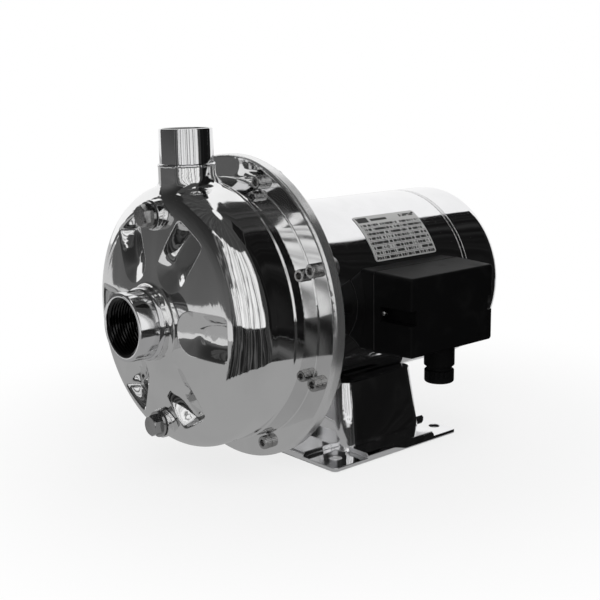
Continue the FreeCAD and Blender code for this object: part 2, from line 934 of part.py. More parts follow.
def ball_set(x, bearing):
    """The balls of one bearing."""
    pitch = (bearing["bore"] + bearing["outside"]) / 2
    ball = Part.makeSphere(bearing["ball"], point(x + bearing["width"] / 2, pitch, 0))
    return pattern(ball, bearing["count"])


def ball_cage(x, bearing):
    """Thin ring that keeps the balls apart."""
    pitch = (bearing["bore"] + bearing["outside"]) / 2
    middle = x + bearing["width"] / 2
    half = bearing["ball"] * cage_share
    body = ring(middle - half, middle + 2 * half, pitch + cage_half_thick, pitch - cage_half_thick)
    pocket_ball = Part.makeSphere(bearing["ball"] + cage_play, point(middle, pitch, 0))
    return body.cut(pattern(pocket_ball, bearing["count"]))


def wave_spring():
    """Sprung washer that loads the rear bearing."""
    start = rear_bearing_x + rear_bearing["width"] + seat_gap
    outer = rear_bearing["outside"] - running_gap
    return ring(start, start + spring_thick, outer, outer - spring_width)


def stator_core():
    """Sheet pack of the stator, grooved on the outside for the tie rods."""
    body = ring(core_x, core_end_x, shell_bore - seat_gap, stator_bore)
    groove = Part.makeBox(
        core_length,
        shell_bore - rod_circle + 2 * rod_radius + 2,
        3 * rod_radius,
        V(core_x, -shell_bore - 2, shaft_height - 1.5 * rod_radius),
    )
    return body.cut(pattern(groove, rod_count, rod_first_angle))


def stator_windings():
    """End turns of the winding, one ring at each end of the core."""
    rings = []
    for start in (core_x - winding_length, core_end_x):
        pairs = [
            (start, winding_inner),
            (start + winding_length, winding_inner),
            (start + winding_length, winding_outer),
            (start, winding_outer),
        ]
        rings.append(lathe(pairs, {corner: winding_round for corner in range(4)}))
    return rings


def motor_shell():
    """Rolled tube round the motor."""
    return ring(shell_x, shell_end_x, shell_radius, shell_bore)


def rear_end_shield():
    """Cast rear cover with bearing housing, ribs and a visible rim."""
    housing = rear_bearing["outside"]
    seat_start = rear_bearing_x - 1
    step = rear_bearing_x + rear_bearing["width"] + spring_thick + 2 * seat_gap
    shaft_hole = fan_seat_radius + shield_shaft_room
    web_end = shield_web_x + shield_web
    spigot_end = shield_web_x - shield_spigot
    body = lathe(
        [
            (seat_start, housing),
            (step, housing),
            (step, shaft_hole),
            (web_end, shaft_hole),
            (web_end, shell_bore - shield_rim_root),
            (cover_x_start + fan_cover_overlap, shell_bore - shield_rim_wall),
            (cover_x_start + fan_cover_overlap, shell_radius - fan_cover_sheet - seat_gap),
            (cover_x_start, shell_radius - fan_cover_sheet - seat_gap),
            (cover_x_start, shell_radius),
            (shell_end_x, shell_radius),
            (shell_end_x, shell_bore - seat_gap),
            (spigot_end, shell_bore - seat_gap),
            (spigot_end, shell_bore - spigot_wall),
            (shield_web_x, shell_bore - spigot_root),
            (shield_web_x, housing + housing_wall),
            (seat_start, housing + housing_wall - housing_draft),
        ]
    )
    rib_length = shell_bore - spigot_root - housing - housing_wall + 2 * overrun
    rib_start = housing + housing_wall - overrun
    rib_corner = V(spigot_end, -rib_start - rib_length, shaft_height - shield_rib / 2)
    rib = Part.makeBox(shield_spigot, rib_length, shield_rib, rib_corner)
    ribs = pattern(rib, shield_rib_count, 180.0 / shield_rib_count)
    tie = disc(spigot_end - overrun, web_end + overrun, rod_radius + seat_gap)
    tie.translate(outwards(rod_circle))
    head_room = disc(web_end, cover_x_start + fan_cover_overlap + 1, rod_head / math.sqrt(3) + screw_play)
    head_room.translate(outwards(rod_circle))
    holes = pattern(tie, rod_count, rod_first_angle) + pattern(head_room, rod_count, rod_first_angle)
    return body.fuse(ribs).cut(holes).removeSplitter()


def tie_rods():
    """Long screws that hold shield, shell and bracket together."""
    end = shield_web_x + shield_web
    rod = disc(bracket_x + bracket_step + 1, end, rod_radius)
    head = hex_bar(rod_head, V(end, 0, shaft_height), ALONG, rod_head_height)
    whole = rod.fuse(head)
    whole.translate(outwards(rod_circle))
    return pattern(whole, rod_count, rod_first_angle)


def fan_cover():
    """Drawn cap over the fan, with a slotted grille at the back."""
    outer = [
        (cover_x_start, 0),
        (cover_x_start, shell_radius),
        (cover_x_end, shell_radius),
        (cover_x_end, 0),
    ]
    inner = [
        (cover_x_start, 0),
        (cover_x_start, shell_radius - fan_cover_sheet),
        (cover_x_end - fan_cover_sheet, shell_radius - fan_cover_sheet),
        (cover_x_end - fan_cover_sheet, 0),
    ]
    cap = lathe(outer, {2: fan_cover_round}).cut(lathe(inner, {2: fan_cover_round - fan_cover_sheet}))
    slots = []
    for row in range(grille_rings):
        outer_end = grille_first + row * grille_pitch + grille_length
        corner = V(cover_x_end - overrun, -outer_end, shaft_height - grille_slot / 2)
        slot = Part.makeBox(2 * overrun, grille_length, grille_slot, corner)
        slots += pattern(slot, grille_spokes, row * 180.0 / grille_spokes)
    return cap.cut(slots)


def shaft():
    """Stepped shaft that carries impeller, seal, bearings, rotor and fan."""
    step_x_hub = hub_back_x()
    nut_x = hub_front_x() - washer_thick - impeller_nut_height - shaft_tip
    rear_end = rear_bearing_x + rear_bearing["width"]
    front_end = front_bearing_x + front_bearing["width"]
    slinger_end = bracket_x + slinger_thick + 1
    tail_x = fan_x + fan_width + shaft_tail
    parts = [
        disc(nut_x, hub_front_x() + shaft_tip, nut_seat_radius - seat_gap),
        disc(hub_front_x() + shaft_tip, step_x_hub, impeller_seat_radius - seat_gap),
        disc(step_x_hub, slinger_end, seal_seat_radius - seat_gap),
        disc(slinger_end, front_end, front_bearing["bore"] - seat_gap),
        disc(front_end, rear_bearing_x, rotor_seat_radius - seat_gap),
        disc(rear_bearing_x, rear_end, rear_bearing["bore"] - seat_gap),
        disc(rear_end, tail_x, fan_seat_radius - seat_gap),
    ]
    body = parts[0].fuse(parts[1:]).removeSplitter()
    key_foot = shaft_height + impeller_seat_radius - key_width / 2
    key_seat = Part.makeBox(
        key_length + 2 * seat_gap,
        key_width + 2 * seat_gap,
        key_width,
        V(key_x() - seat_gap, -key_width / 2 - seat_gap, key_foot),
    )
    groove_end = clip_x() + clip_thick + seat_gap
    groove = ring(clip_x() - seat_gap, groove_end, fan_seat_radius + 1, fan_seat_radius - clip_groove)
    ends = edges_where(body, lambda middle, edge: middle.x < nut_x + near or middle.x > tail_x - near)
    return body.makeChamfer(end_chamfer, ends).cut([key_seat, groove])


def hub_front_x():
    """Front end of the impeller hub."""
    return hub_back_x() - impeller_hub_length


def key_x():
    """Front end of the impeller key."""
    return hub_back_x() - key_length - impeller_hub_step


def clip_x():
    """Front face of the retaining ring behind the fan."""
    return fan_x + fan_width + 2 * seat_gap


def impeller_key():
    """Key between shaft and impeller."""
    return Part.makeBox(
        key_length,
        key_width,
        key_width,
        V(key_x(), -key_width / 2, shaft_height + impeller_seat_radius - key_width / 2 + seat_gap / 2),
    )


def shroud_profile(shift):
    """The line of the front shroud from eye to rim, moved back by the shift, as (x, radius) points."""
    rim_x = impeller_back_x - impeller_exit_width - impeller_sheet
    return [
        (rim_x - shroud_rise + shift, eye_radius - eye_sheet + shift),
        (rim_x - shroud_slope + shift, eye_radius + shroud_turn),
        (rim_x + shift, impeller_radius),
    ]


def impeller_front_shroud():
    """Front disc of the impeller with its eye."""
    start = crown_x + suction_spigot - wear_ring_length + eye_sheet
    front = shroud_profile(0.0)
    back = shroud_profile(impeller_sheet)
    pairs = [
        (start, eye_radius - eye_sheet),
        (start, eye_radius),
        (front[0][0], eye_radius),
        front[1],
        front[2],
        back[2],
        back[1],
        (front[0][0] + eye_sheet, eye_radius - eye_sheet),
    ]
    return lathe(pairs, {2: shroud_corner, 3: shroud_round, 6: shroud_round})


def impeller_back_plate():
    """Rear disc of the impeller with its hub."""
    front = hub_front_x()
    bore = impeller_seat_radius
    pairs = [
        (front, bore),
        (front, impeller_hub_radius - impeller_hub_taper),
        (impeller_back_x - impeller_root, impeller_hub_radius),
        (impeller_back_x, impeller_hub_radius + impeller_root),
        (impeller_back_x, impeller_radius),
        (impeller_back_x + impeller_sheet, impeller_radius),
        (impeller_back_x + impeller_sheet, impeller_hub_radius),
        (hub_back_x(), impeller_hub_radius),
        (hub_back_x(), bore),
    ]
    slot = Part.makeBox(
        impeller_hub_length + 2,
        key_width + 2 * seat_gap,
        key_width + 2 * seat_gap,
        V(front - 1, -key_width / 2 - seat_gap, shaft_height + bore - key_width / 2),
    )
    return lathe(pairs).cut(slot)


def impeller_vanes():
    """Back-swept vanes between the two discs."""
    back = shroud_profile(impeller_sheet)
    passage = lathe(
        [
            (back[1][0] - vane_rise, vane_inner - vane_margin),
            back[1],
            back[2],
            (impeller_back_x, impeller_radius),
            (impeller_back_x, vane_inner - vane_margin),
        ],
        {1: shroud_round - 2 * impeller_sheet},
    )
    start_x = back[0][0] - vane_margin
    sides = []
    for side in (-1, 1):
        places = []
        for share in (0.0, 0.5, 1.0):
            radius = vane_inner + (impeller_radius + 1 - vane_inner) * share
            swept = vane_sweep * (1 - (1 - share) ** vane_curve)
            angle = side * math.degrees(vane_thick / radius) - swept
            places.append(point(start_x, radius, angle))
        sides.append(places)
    first = Part.Arc(*sides[0]).toShape()
    second = Part.Arc(*sides[1]).toShape()
    caps = [
        Part.LineSegment(sides[0][0], sides[1][0]).toShape(),
        Part.LineSegment(sides[0][2], sides[1][2]).toShape(),
    ]
    face = Part.Face(Part.Wire(Part.__sortEdges__([first, second] + caps)))
    vane = face.extrude(V(impeller_back_x - start_x, 0, 0)).common(passage)
    return pattern(vane, vane_count)


def impeller_washer():
    """Washer between nut and hub."""
    start = hub_front_x() - washer_thick
    return ring(start, hub_front_x(), washer_radius, nut_seat_radius + washer_play)


def impeller_nut():
    """Nut that holds the impeller on the shaft."""
    start = hub_front_x() - washer_thick - impeller_nut_height
    base = V(start, 0, shaft_height)
    body = hex_bar(impeller_nut_flats, base, ALONG, impeller_nut_height)
    small = impeller_nut_flats / 2
    crown = Part.makeCone(small, small + impeller_nut_height, impeller_nut_height, base, ALONG)
    return body.common(crown).cut(disc(start, start + impeller_nut_height, nut_seat_radius))


def rotor_core():
    """Sheet pack of the rotor."""
    return ring(core_x, core_end_x, stator_bore - air_gap, rotor_seat_radius)


def rotor_end_rings():
    """Cast short-circuit rings at both ends of the rotor, with stub blades."""
    rings = []
    for start, side in ((core_x - end_ring_length, -1), (core_end_x, 1)):
        outer = stator_bore - end_ring_setback
        body = ring(start, start + end_ring_length, outer, end_ring_inner)
        blade_x = start - stub_length if side < 0 else start + end_ring_length
        corner = V(blade_x, -outer + 1, shaft_height - stub_thick / 2)
        stub = Part.makeBox(stub_length, outer - end_ring_inner - 2, stub_thick, corner)
        rings.append(body.fuse(pattern(stub, stub_count)))
    return rings


def fan():
    """Cooling fan with radial blades on a plate."""
    plate = ring(fan_x, fan_x + fan_plate, fan_radius, fan_seat_radius)
    hub = ring(fan_x, fan_x + fan_width, fan_hub, fan_seat_radius)
    blade = Part.makeBox(
        fan_width - 1,
        fan_radius - fan_hub + 1,
        fan_blade_thick,
        V(fan_x, near - fan_radius, shaft_height - fan_blade_thick / 2),
    )
    return plate.fuse([hub] + pattern(blade, fan_blades)).removeSplitter()


def fan_clip():
    """Retaining ring behind the fan."""
    inner = fan_seat_radius - clip_groove + 2 * seat_gap
    body = ring(clip_x(), clip_x() + clip_thick, fan_seat_radius + clip_rise, inner)
    corner = V(clip_x() - 1, -clip_mouth / 2, shaft_height)
    return body.cut(Part.makeBox(clip_thick + 2, clip_mouth, 2 * fan_seat_radius, corner))


def box_block(low_y, high_y, wall, spread):
    """A block of the terminal box between two planes, drafted so that it narrows to the front."""
    outlines = []
    for y, grow in ((low_y, 0.0), (high_y, spread)):
        corners = [
            V(box_left + wall - grow, y, box_low + wall - grow),
            V(box_right - wall + grow, y, box_low + wall - grow),
            V(box_right - wall + grow, y, box_high - wall + grow),
            V(box_left + wall - grow, y, box_high - wall + grow),
        ]
        corner = max(box_corner - wall * 0.6, box_least_corner)
        outlines.append(rounded_wire(corners, {index: corner for index in range(4)}))
    return Part.makeLoft(outlines, True, True)


def box_pad():
    """Curved pad that seats the terminal box on the motor shell."""
    block = box_block(pad_y, pad_y + pad_thick + pad_wrap, -box_draft, 0.0)
    seat = disc(box_left - overrun, box_right + overrun, shell_radius + seat_gap)
    return block.cut([seat, lead_window(window_step)])


def lead_window(grow):
    """The way for the leads through pad and base."""
    length = lead_window_length + 2 * grow
    height = lead_window_height + 2 * grow
    corner = V(lead_window_x - length / 2, base_y - 1, channel_z - height / 2)
    return Part.makeBox(length, base_thick + pad_thick + pad_wrap + 2, height, corner)


def screw_lines():
    """Where the two screws of the box stand along X."""
    return (box_left + channel_depth / 2, box_right - channel_depth / 2)


def box_base():
    """Base frame of the terminal box with a floor and an opening for the leads."""
    block = box_block(base_y, pad_y, -box_draft, 0.0)
    hollow = box_block(base_y - 1, pad_y - base_floor, box_wall + base_lip, 0.0)
    posts = []
    holes = []
    for x in screw_lines():
        posts.append(Part.makeCylinder(box_screw_post, base_thick, V(x, base_y, channel_z), REAR))
        holes.append(Part.makeCylinder(box_screw_radius, base_thick + 2, V(x, base_y - 1, channel_z), REAR))
    return block.cut(hollow).fuse(posts).cut([lead_window(0.0)] + holes).removeSplitter()


def box_gasket():
    """Flat seal between the base and the cover."""
    outer = box_block(cover_y, base_y, -box_draft + gasket_inset, 0.0)
    inner = box_block(cover_y - 1, base_y + 1, box_wall + base_lip, 0.0)
    holes = []
    for x in screw_lines():
        base = V(x, cover_y - 1, channel_z)
        holes.append(Part.makeCylinder(box_screw_radius + screw_play, gasket_thick + 2, base, REAR))
    return outer.cut([inner] + holes)


def box_cover():
    """Deep cover of the terminal box, with a screw channel in each side."""
    block = box_block(box_face_y, cover_y, 0.0, box_draft)
    front_edges = edges_where(block, lambda middle, edge: middle.y < box_face_y + near)
    block = block.makeFillet(box_edge, front_edges)
    hollow = box_block(box_face_y + box_wall, cover_y + 1, box_wall, 0.0)
    channels = []
    towers = []
    holes = []
    for side, wall_x in ((-1, box_left), (1, box_right)):
        inner_x = wall_x - side * channel_depth
        low_x = min(inner_x, wall_x + side * overrun)
        corner = V(low_x, box_face_y - overrun, channel_z - channel_height / 2)
        length = channel_floor_y - box_face_y + overrun
        channels.append(Part.makeBox(channel_depth + overrun, length, channel_height, corner))
        tower_low = min(inner_x - side * box_wall, wall_x - side * seat_gap)
        corner = V(tower_low, box_face_y + 1, channel_z - channel_height / 2 - box_wall)
        tower_height = channel_height + 2 * box_wall
        tower_length = cover_y - box_face_y - 1
        towers.append(Part.makeBox(channel_depth + box_wall - seat_gap, tower_length, tower_height, corner))
    for x in screw_lines():
        base = V(x, channel_floor_y - 1, channel_z)
        drop = cover_y - channel_floor_y + 2
        holes.append(Part.makeCylinder(box_screw_radius + screw_play, drop, base, REAR))
    entry_base = V(gland_x, gland_y, box_low - overrun)
    entry = Part.makeCylinder(gland_shank + seat_gap, 2 * overrun + box_wall, entry_base, UP)
    return block.cut(hollow).fuse(towers).cut(channels + holes + [entry]).removeSplitter()


def box_cover_screws():
    """Cross-recessed screws that stand in the channels of the cover."""
    screws = []
    for x in screw_lines():
        base = V(x, channel_floor_y, channel_z)
        head = Part.makeCylinder(box_screw_head, box_screw_head_height, base, FRONT)
        front_y = channel_floor_y - box_screw_head_height
        crest = edges_where(head, lambda middle, edge: middle.y < front_y + near)
        head = head.makeFillet(box_screw_edge, crest)
        shank = Part.makeCylinder(box_screw_radius - seat_gap, pad_y - channel_floor_y - 1, base, REAR)
        screws.append(head.fuse(shank))
    return screws


def board_places():
    """Where the studs stand on the terminal board, as (x, z) pairs."""
    places = []
    centre_x = (box_left + box_right) / 2
    for row in range(stud_rows):
        for column in range(stud_columns):
            x = centre_x + (column - (stud_columns - 1) / 2) * stud_pitch_x
            z = channel_z + (row - (stud_rows - 1) / 2) * stud_pitch_z
            places.append((x, z))
    return places


def terminal_board():
    """Moulded board for the supply leads."""
    centre_x = (box_left + box_right) / 2
    back_y = pad_y - base_floor
    body = Part.makeBox(
        board_length,
        board_thick,
        board_height,
        V(centre_x - board_length / 2, back_y - board_thick, channel_z - board_height / 2),
    )
    holes = []
    for x, z in board_places():
        holes.append(Part.makeCylinder(stud_radius + seat_gap, board_thick + 2, V(x, back_y + 1, z), FRONT))
    walls = []
    for column in range(stud_columns - 1):
        x = centre_x + (column - (stud_columns - 2) / 2) * stud_pitch_x
        corner = V(x - board_wall / 2, back_y - board_thick - board_wall_rise, channel_z - board_height / 2)
        walls.append(Part.makeBox(board_wall, board_wall_rise, board_height, corner))
    return body.fuse(walls).cut(holes)


def terminal_studs():
    """Brass studs with their nuts."""
    back_y = pad_y - base_floor
    studs = []
    for x, z in board_places():
        stud = Part.makeCylinder(stud_radius, stud_length, V(x, back_y - near, z), FRONT)
        nut = hex_bar(stud_nut_flats, V(x, back_y - board_thick, z), FRONT, stud_nut_height)
        studs.append(stud.fuse(nut))
    return studs


def gland_cylinder(radius, top, length):
    """A piece of the cable gland, hanging down from the given height."""
    return Part.makeCylinder(radius, length, V(gland_x, gland_y, top), DOWN)


def gland_body():
    """Body of the cable gland, screwed into the box from below."""
    seat = gland_seat
    shank_length = box_low - seat + box_wall + locknut_thick + gland_shank_rest
    shank = Part.makeCylinder(gland_shank, shank_length, V(gland_x, gland_y, seat), UP)
    body = gland_cylinder(gland_radius, seat, gland_body_length)
    low = seat - gland_body_length
    body = body.makeFillet(gland_edge, edges_where(body, lambda middle, edge: middle.z < low + near))
    neck = gland_cylinder(gland_neck_radius, low, gland_neck_length + gland_neck_hold)
    length = gland_body_length + gland_neck_length + gland_neck_hold
    bore = gland_cylinder(gland_entry + gland_seal_wall + seat_gap, seat - gland_seal_depth, length)
    base = V(gland_x, gland_y, seat - gland_seal_depth - 1)
    passage = Part.makeCylinder(gland_entry, shank_length + gland_seal_depth + 2, base, UP)
    return body.fuse([shank, neck]).cut([bore, passage]).removeSplitter()


def gland_seal():
    """Rubber sleeve that grips a cable."""
    top = gland_seat - gland_seal_depth - seat_gap
    length = gland_body_length + gland_neck_length - gland_neck_hold
    outer = gland_cylinder(gland_entry + gland_seal_wall, top, length)
    return outer.cut(gland_cylinder(gland_entry, top, length))


def gland_nut():
    """Ribbed cap nut of the cable gland."""
    top = gland_seat - gland_body_length - gland_neck_length
    body = gland_cylinder(gland_nut_radius, top, gland_nut_length)
    low = top - gland_nut_length
    body = body.makeFillet(gland_nut_edge, edges_where(body, lambda middle, edge: middle.z < low + near))
    cavity = gland_cylinder(gland_neck_radius + seat_gap, top, gland_neck_hold + running_gap)
    entry = gland_cylinder(gland_entry + gland_nut_play, top, gland_nut_length)
    flute_base = V(gland_x + gland_nut_radius + gland_flute_setout, gland_y, top)
    flute = Part.makeCylinder(gland_flute, gland_flute_length, flute_base, DOWN)
    flutes = []
    for step in range(gland_nut_ribs):
        copy = flute.copy()
        copy.rotate(V(gland_x, gland_y, 0), UP, step * 360.0 / gland_nut_ribs)
        flutes.append(copy)
    return body.cut([cavity, entry] + flutes)


def gland_locknut():
    """Nut that holds the gland inside the box."""
    base = V(gland_x, gland_y, box_low + box_wall)
    body = hex_bar(locknut_flats, base, UP, locknut_thick)
    return body.cut(Part.makeCylinder(gland_shank + seat_gap, locknut_thick, base, UP))


def pedestal(inset):
    """The filled form of the pedestal, or of its inside when the inset is the sheet's thickness."""
    outlines = []
    for z, lean in ((ledge_height / 3, 0.0), (pedestal_top - inset, 1.0)):
        end = inset + lean * pedestal_draft
        side = inset + lean * pedestal_side_draft
        left = pedestal_front + side
        right = pedestal_back - side
        half = pedestal_half - end
        outlines.append(rounded_slab(left, right, -half, half, z, pedestal_corner - inset))
    return Part.makeLoft(outlines, True, True)


def foot_blocks(inset, low, high):
    """The corner blocks of the foot that stand for the low pads."""
    blocks = []
    front_pair = (foot_front - overrun, foot_front + front_pad_length)
    back_pair = (foot_back - back_pad_length, foot_back + overrun)
    for x0, x1 in (front_pair, back_pair):
        for side in (-1, 1):
            y0 = side * (foot_half_width + overrun)
            y1 = side * (foot_half_width - pad_width)
            box = Part.makeBox(
                x1 - x0 + 2 * inset,
                abs(y1 - y0) + 2 * inset,
                high - low,
                V(x0 - inset, min(y0, y1) - inset, low),
            )
            blocks.append(box)
    return blocks


def foot():
    """Pressed foot: flange with low corner pads, and a pedestal with a saddle for the shell."""
    outline = rounded_slab(foot_front, foot_back, -foot_half_width, foot_half_width, 0, foot_corner)
    base = Part.Face(outline).extrude(UP * ledge_height)
    rim = edges_where(base, lambda middle, edge: middle.z > ledge_height - 0.01)
    base = base.makeChamfer(ledge_chamfer, rim)
    base = base.cut(foot_blocks(0.0, foot_sheet, ledge_height + 1))
    outside = base.fuse(pedestal(0.0)).removeSplitter()
    hollow = Part.makeBox(
        foot_back - foot_front - 2 * foot_sheet,
        2 * foot_half_width - 2 * foot_sheet,
        ledge_height - foot_sheet + 1,
        V(foot_front + foot_sheet, -foot_half_width + foot_sheet, -1),
    )
    hollow = hollow.cut(foot_blocks(foot_sheet, -2, ledge_height))
    below = Part.makeBox(
        pedestal_back - pedestal_front - 2 * foot_sheet,
        2 * pedestal_half - 2 * foot_sheet,
        ledge_height,
        V(pedestal_front + foot_sheet, -pedestal_half + foot_sheet, -1),
    )
    saddle = disc(foot_front - overrun, foot_back + overrun, shell_radius + seat_gap + foot_sheet)
    inner = pedestal(foot_sheet).fuse(below).cut(saddle)
    cradle = disc(foot_front - overrun, foot_back + overrun, shell_radius + seat_gap)
    holes = []
    for x in (-hole_spacing_x / 2, hole_spacing_x / 2):
        for y in (-hole_spacing_y / 2, hole_spacing_y / 2):
            holes.append(Part.makeCylinder(foot_hole, ledge_height + overrun, V(x, y, -1), UP))
    return outside.cut([hollow, inner, cradle] + holes).removeSplitter()


def main():
    """Builds every node of the pump."""
    save("pump_casing", pump_casing())
    save("suction_port", suction_port())
    save("discharge_port", discharge_port())
    save("wear_ring", wear_ring())
    save("casing_cover", casing_cover())
    save("casing_o_ring", casing_o_ring())
    save("motor_bracket", motor_bracket())
    save("flange_screws", flange_screws())
    save("seal_seat", seal_seat())
    save("seal_seat_cup", seal_seat_cup())
    save("seal_ring", seal_ring())
    save("seal_bellows", seal_bellows())
    save("slinger", slinger())
    bearings = (("front", front_bearing_x, front_bearing), ("rear", rear_bearing_x, rear_bearing))
    for end, x, bearing in bearings:
        save("bearing_outer_" + end, outer_race(x, bearing))
        save("bearing_inner_" + end, inner_race(x, bearing))
        save("bearing_balls_" + end, ball_set(x, bearing))
        save("bearing_cage_" + end, ball_cage(x, bearing))
    save("wave_spring", wave_spring())
    save("stator_core", stator_core())
    save("stator_windings", stator_windings())
    save("motor_shell", motor_shell())
    save("rear_end_shield", rear_end_shield())
    save("tie_rods", tie_rods())
    save("fan_cover", fan_cover())
    save("shaft", shaft())
    save("impeller_key", impeller_key())
    save("impeller_front_shroud", impeller_front_shroud())
    save("impeller_back_plate", impeller_back_plate())
    save("impeller_vanes", impeller_vanes())
    save("impeller_washer", impeller_washer())
    save("impeller_nut", impeller_nut())
    save("rotor_core", rotor_core())
    save("rotor_end_rings", rotor_end_rings())
    save("fan", fan())
    save("fan_clip", fan_clip())
    save("box_pad", box_pad())
    save("box_base", box_base())
    save("box_gasket", box_gasket())
    save("box_cover", box_cover())
    save("box_cover_screws", box_cover_screws())
    save("terminal_board", terminal_board())
    save("terminal_studs", terminal_studs())
    save("gland_body", gland_body())
    save("gland_seal", gland_seal())
    save("gland_nut", gland_nut())
    save("gland_locknut", gland_locknut())
    for name, height in plug_centres().items():
        save(name + "_plug", plug(height))
        save(name + "_gasket", plug_gasket(height))
    save("foot", foot())


main()
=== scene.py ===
"""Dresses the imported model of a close-coupled centrifugal pump and sets it up in a plain studio.

Lengths are in metres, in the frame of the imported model: +X runs along the shaft from the suction socket to
the fan cover, +Z is up and the terminal box is on the -Y side.
"""

from dataclasses import dataclass, field
from enum import Enum
import json
import logging
import math
from typing import Any, Callable, Optional, Sequence, Union

import bmesh
import bpy
from mathutils import Matrix, Vector

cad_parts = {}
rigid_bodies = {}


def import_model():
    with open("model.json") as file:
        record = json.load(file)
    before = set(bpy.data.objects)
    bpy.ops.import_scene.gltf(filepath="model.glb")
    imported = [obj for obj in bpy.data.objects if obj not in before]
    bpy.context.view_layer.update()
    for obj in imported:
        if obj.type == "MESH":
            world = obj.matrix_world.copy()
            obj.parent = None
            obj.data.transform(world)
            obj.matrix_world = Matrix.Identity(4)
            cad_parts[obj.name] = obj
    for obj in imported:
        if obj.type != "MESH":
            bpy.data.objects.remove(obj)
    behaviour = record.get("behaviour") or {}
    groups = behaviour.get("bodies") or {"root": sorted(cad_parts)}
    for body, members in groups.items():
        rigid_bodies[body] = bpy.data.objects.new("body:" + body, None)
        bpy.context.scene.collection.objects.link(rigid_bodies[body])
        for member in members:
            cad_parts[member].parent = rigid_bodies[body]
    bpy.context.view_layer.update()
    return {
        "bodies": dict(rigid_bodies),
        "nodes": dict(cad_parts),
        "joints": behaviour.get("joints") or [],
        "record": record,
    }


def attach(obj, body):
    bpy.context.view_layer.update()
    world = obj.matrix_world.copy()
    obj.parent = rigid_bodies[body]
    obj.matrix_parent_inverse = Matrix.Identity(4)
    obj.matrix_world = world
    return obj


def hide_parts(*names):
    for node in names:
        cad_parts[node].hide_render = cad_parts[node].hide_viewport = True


LOG = logging.getLogger("pump")
Number = Union[int, float]
Radius = Union[Number, Callable[[float], float]]
Section = list[tuple[float, Radius]]
Span = tuple[float, float]
Faces = list[list[int]]

SHAFT_HEIGHT = 0.118
SUCTION_MOUTH = (-0.1986, 0.0, SHAFT_HEIGHT)
DISCHARGE_MOUTH = (-0.1386, 0.0, 0.252)
PIPE_THREAD_PITCH = 0.002309
WHITE = (1.0, 1.0, 1.0, 1.0)
MIX_FACTOR, MIX_FIRST, MIX_SECOND, MIX_RESULT = 0, 6, 7, 2


class Axis(Enum):
    """The line that a turned piece is turned about."""

    SHAFT = "shaft"
    UPRIGHT = "upright"
    FRONT = "front"


class Value:
    """One output of a shader node, on which plain arithmetic adds Math nodes."""

    def __init__(self, bench: "Bench", socket: bpy.types.NodeSocket) -> None:
        """Wraps a socket.

        Args:
            bench: the node tree's helper.
            socket: the output that carries the value.
        """
        self.bench = bench
        self.socket = socket

    def __add__(self, other: Union["Value", Number]) -> "Value":
        """Sum."""
        return self.bench.math("ADD", self, other)

    def __radd__(self, other: Number) -> "Value":
        """Sum with a plain number on the left."""
        return self.bench.math("ADD", other, self)

    def __sub__(self, other: Union["Value", Number]) -> "Value":
        """Difference."""
        return self.bench.math("SUBTRACT", self, other)

    def __rsub__(self, other: Number) -> "Value":
        """Difference with a plain number on the left."""
        return self.bench.math("SUBTRACT", other, self)

    def __mul__(self, other: Union["Value", Number]) -> "Value":
        """Product."""
        return self.bench.math("MULTIPLY", self, other)

    def __truediv__(self, other: Union["Value", Number]) -> "Value":
        """Quotient."""
        return self.bench.math("DIVIDE", self, other)

    def __pow__(self, other: Number) -> "Value":
        """Power."""
        return self.bench.math("POWER", self, other)

    def above(self, limit: Number) -> "Value":
        """1 where the value is over the limit, else 0."""
        return self.bench.math("GREATER_THAN", self, limit)

    def below(self, limit: Number) -> "Value":
        """1 where the value is under the limit, else 0."""
        return self.bench.math("LESS_THAN", self, limit)

    def within(self, low: Number, high: Number) -> "Value":
        """1 where the value lies between two limits, else 0."""
        return self.above(low) * self.below(high)

    def whole(self) -> "Value":
        """The value rounded down."""
        return self.bench.math("FLOOR", self)

    def rest(self) -> "Value":
        """What is left over the value rounded down."""
        return self.bench.math("FRACT", self)

    def size(self) -> "Value":
        """Absolute value."""
        return self.bench.math("ABSOLUTE", self)

    def wave(self) -> "Value":
        """Sine."""
        return self.bench.math("SINE", self)

    def at_least(self, other: Union["Value", Number]) -> "Value":
        """The larger of the two."""
        return self.bench.math("MAXIMUM", self, other)

    def spread(self, low: Number, high: Number, to_low: Number = 0.0, to_high: Number = 1.0) -> "Value":
        """Maps the span low..high to another span, smoothly and without overshoot.

        Args:
            low: value that gives to_low.
            high: value that gives to_high.
            to_low: result at low.
            to_high: result at high.

        Returns:
            The mapped value.
        """
        node = self.bench.add(
            "ShaderNodeMapRange",
            {"interpolation_type": "SMOOTHSTEP"},
            {"Value": self, "From Min": low, "From Max": high, "To Min": to_low, "To Max": to_high},
        )
        return Value(self.bench, node.outputs["Result"])


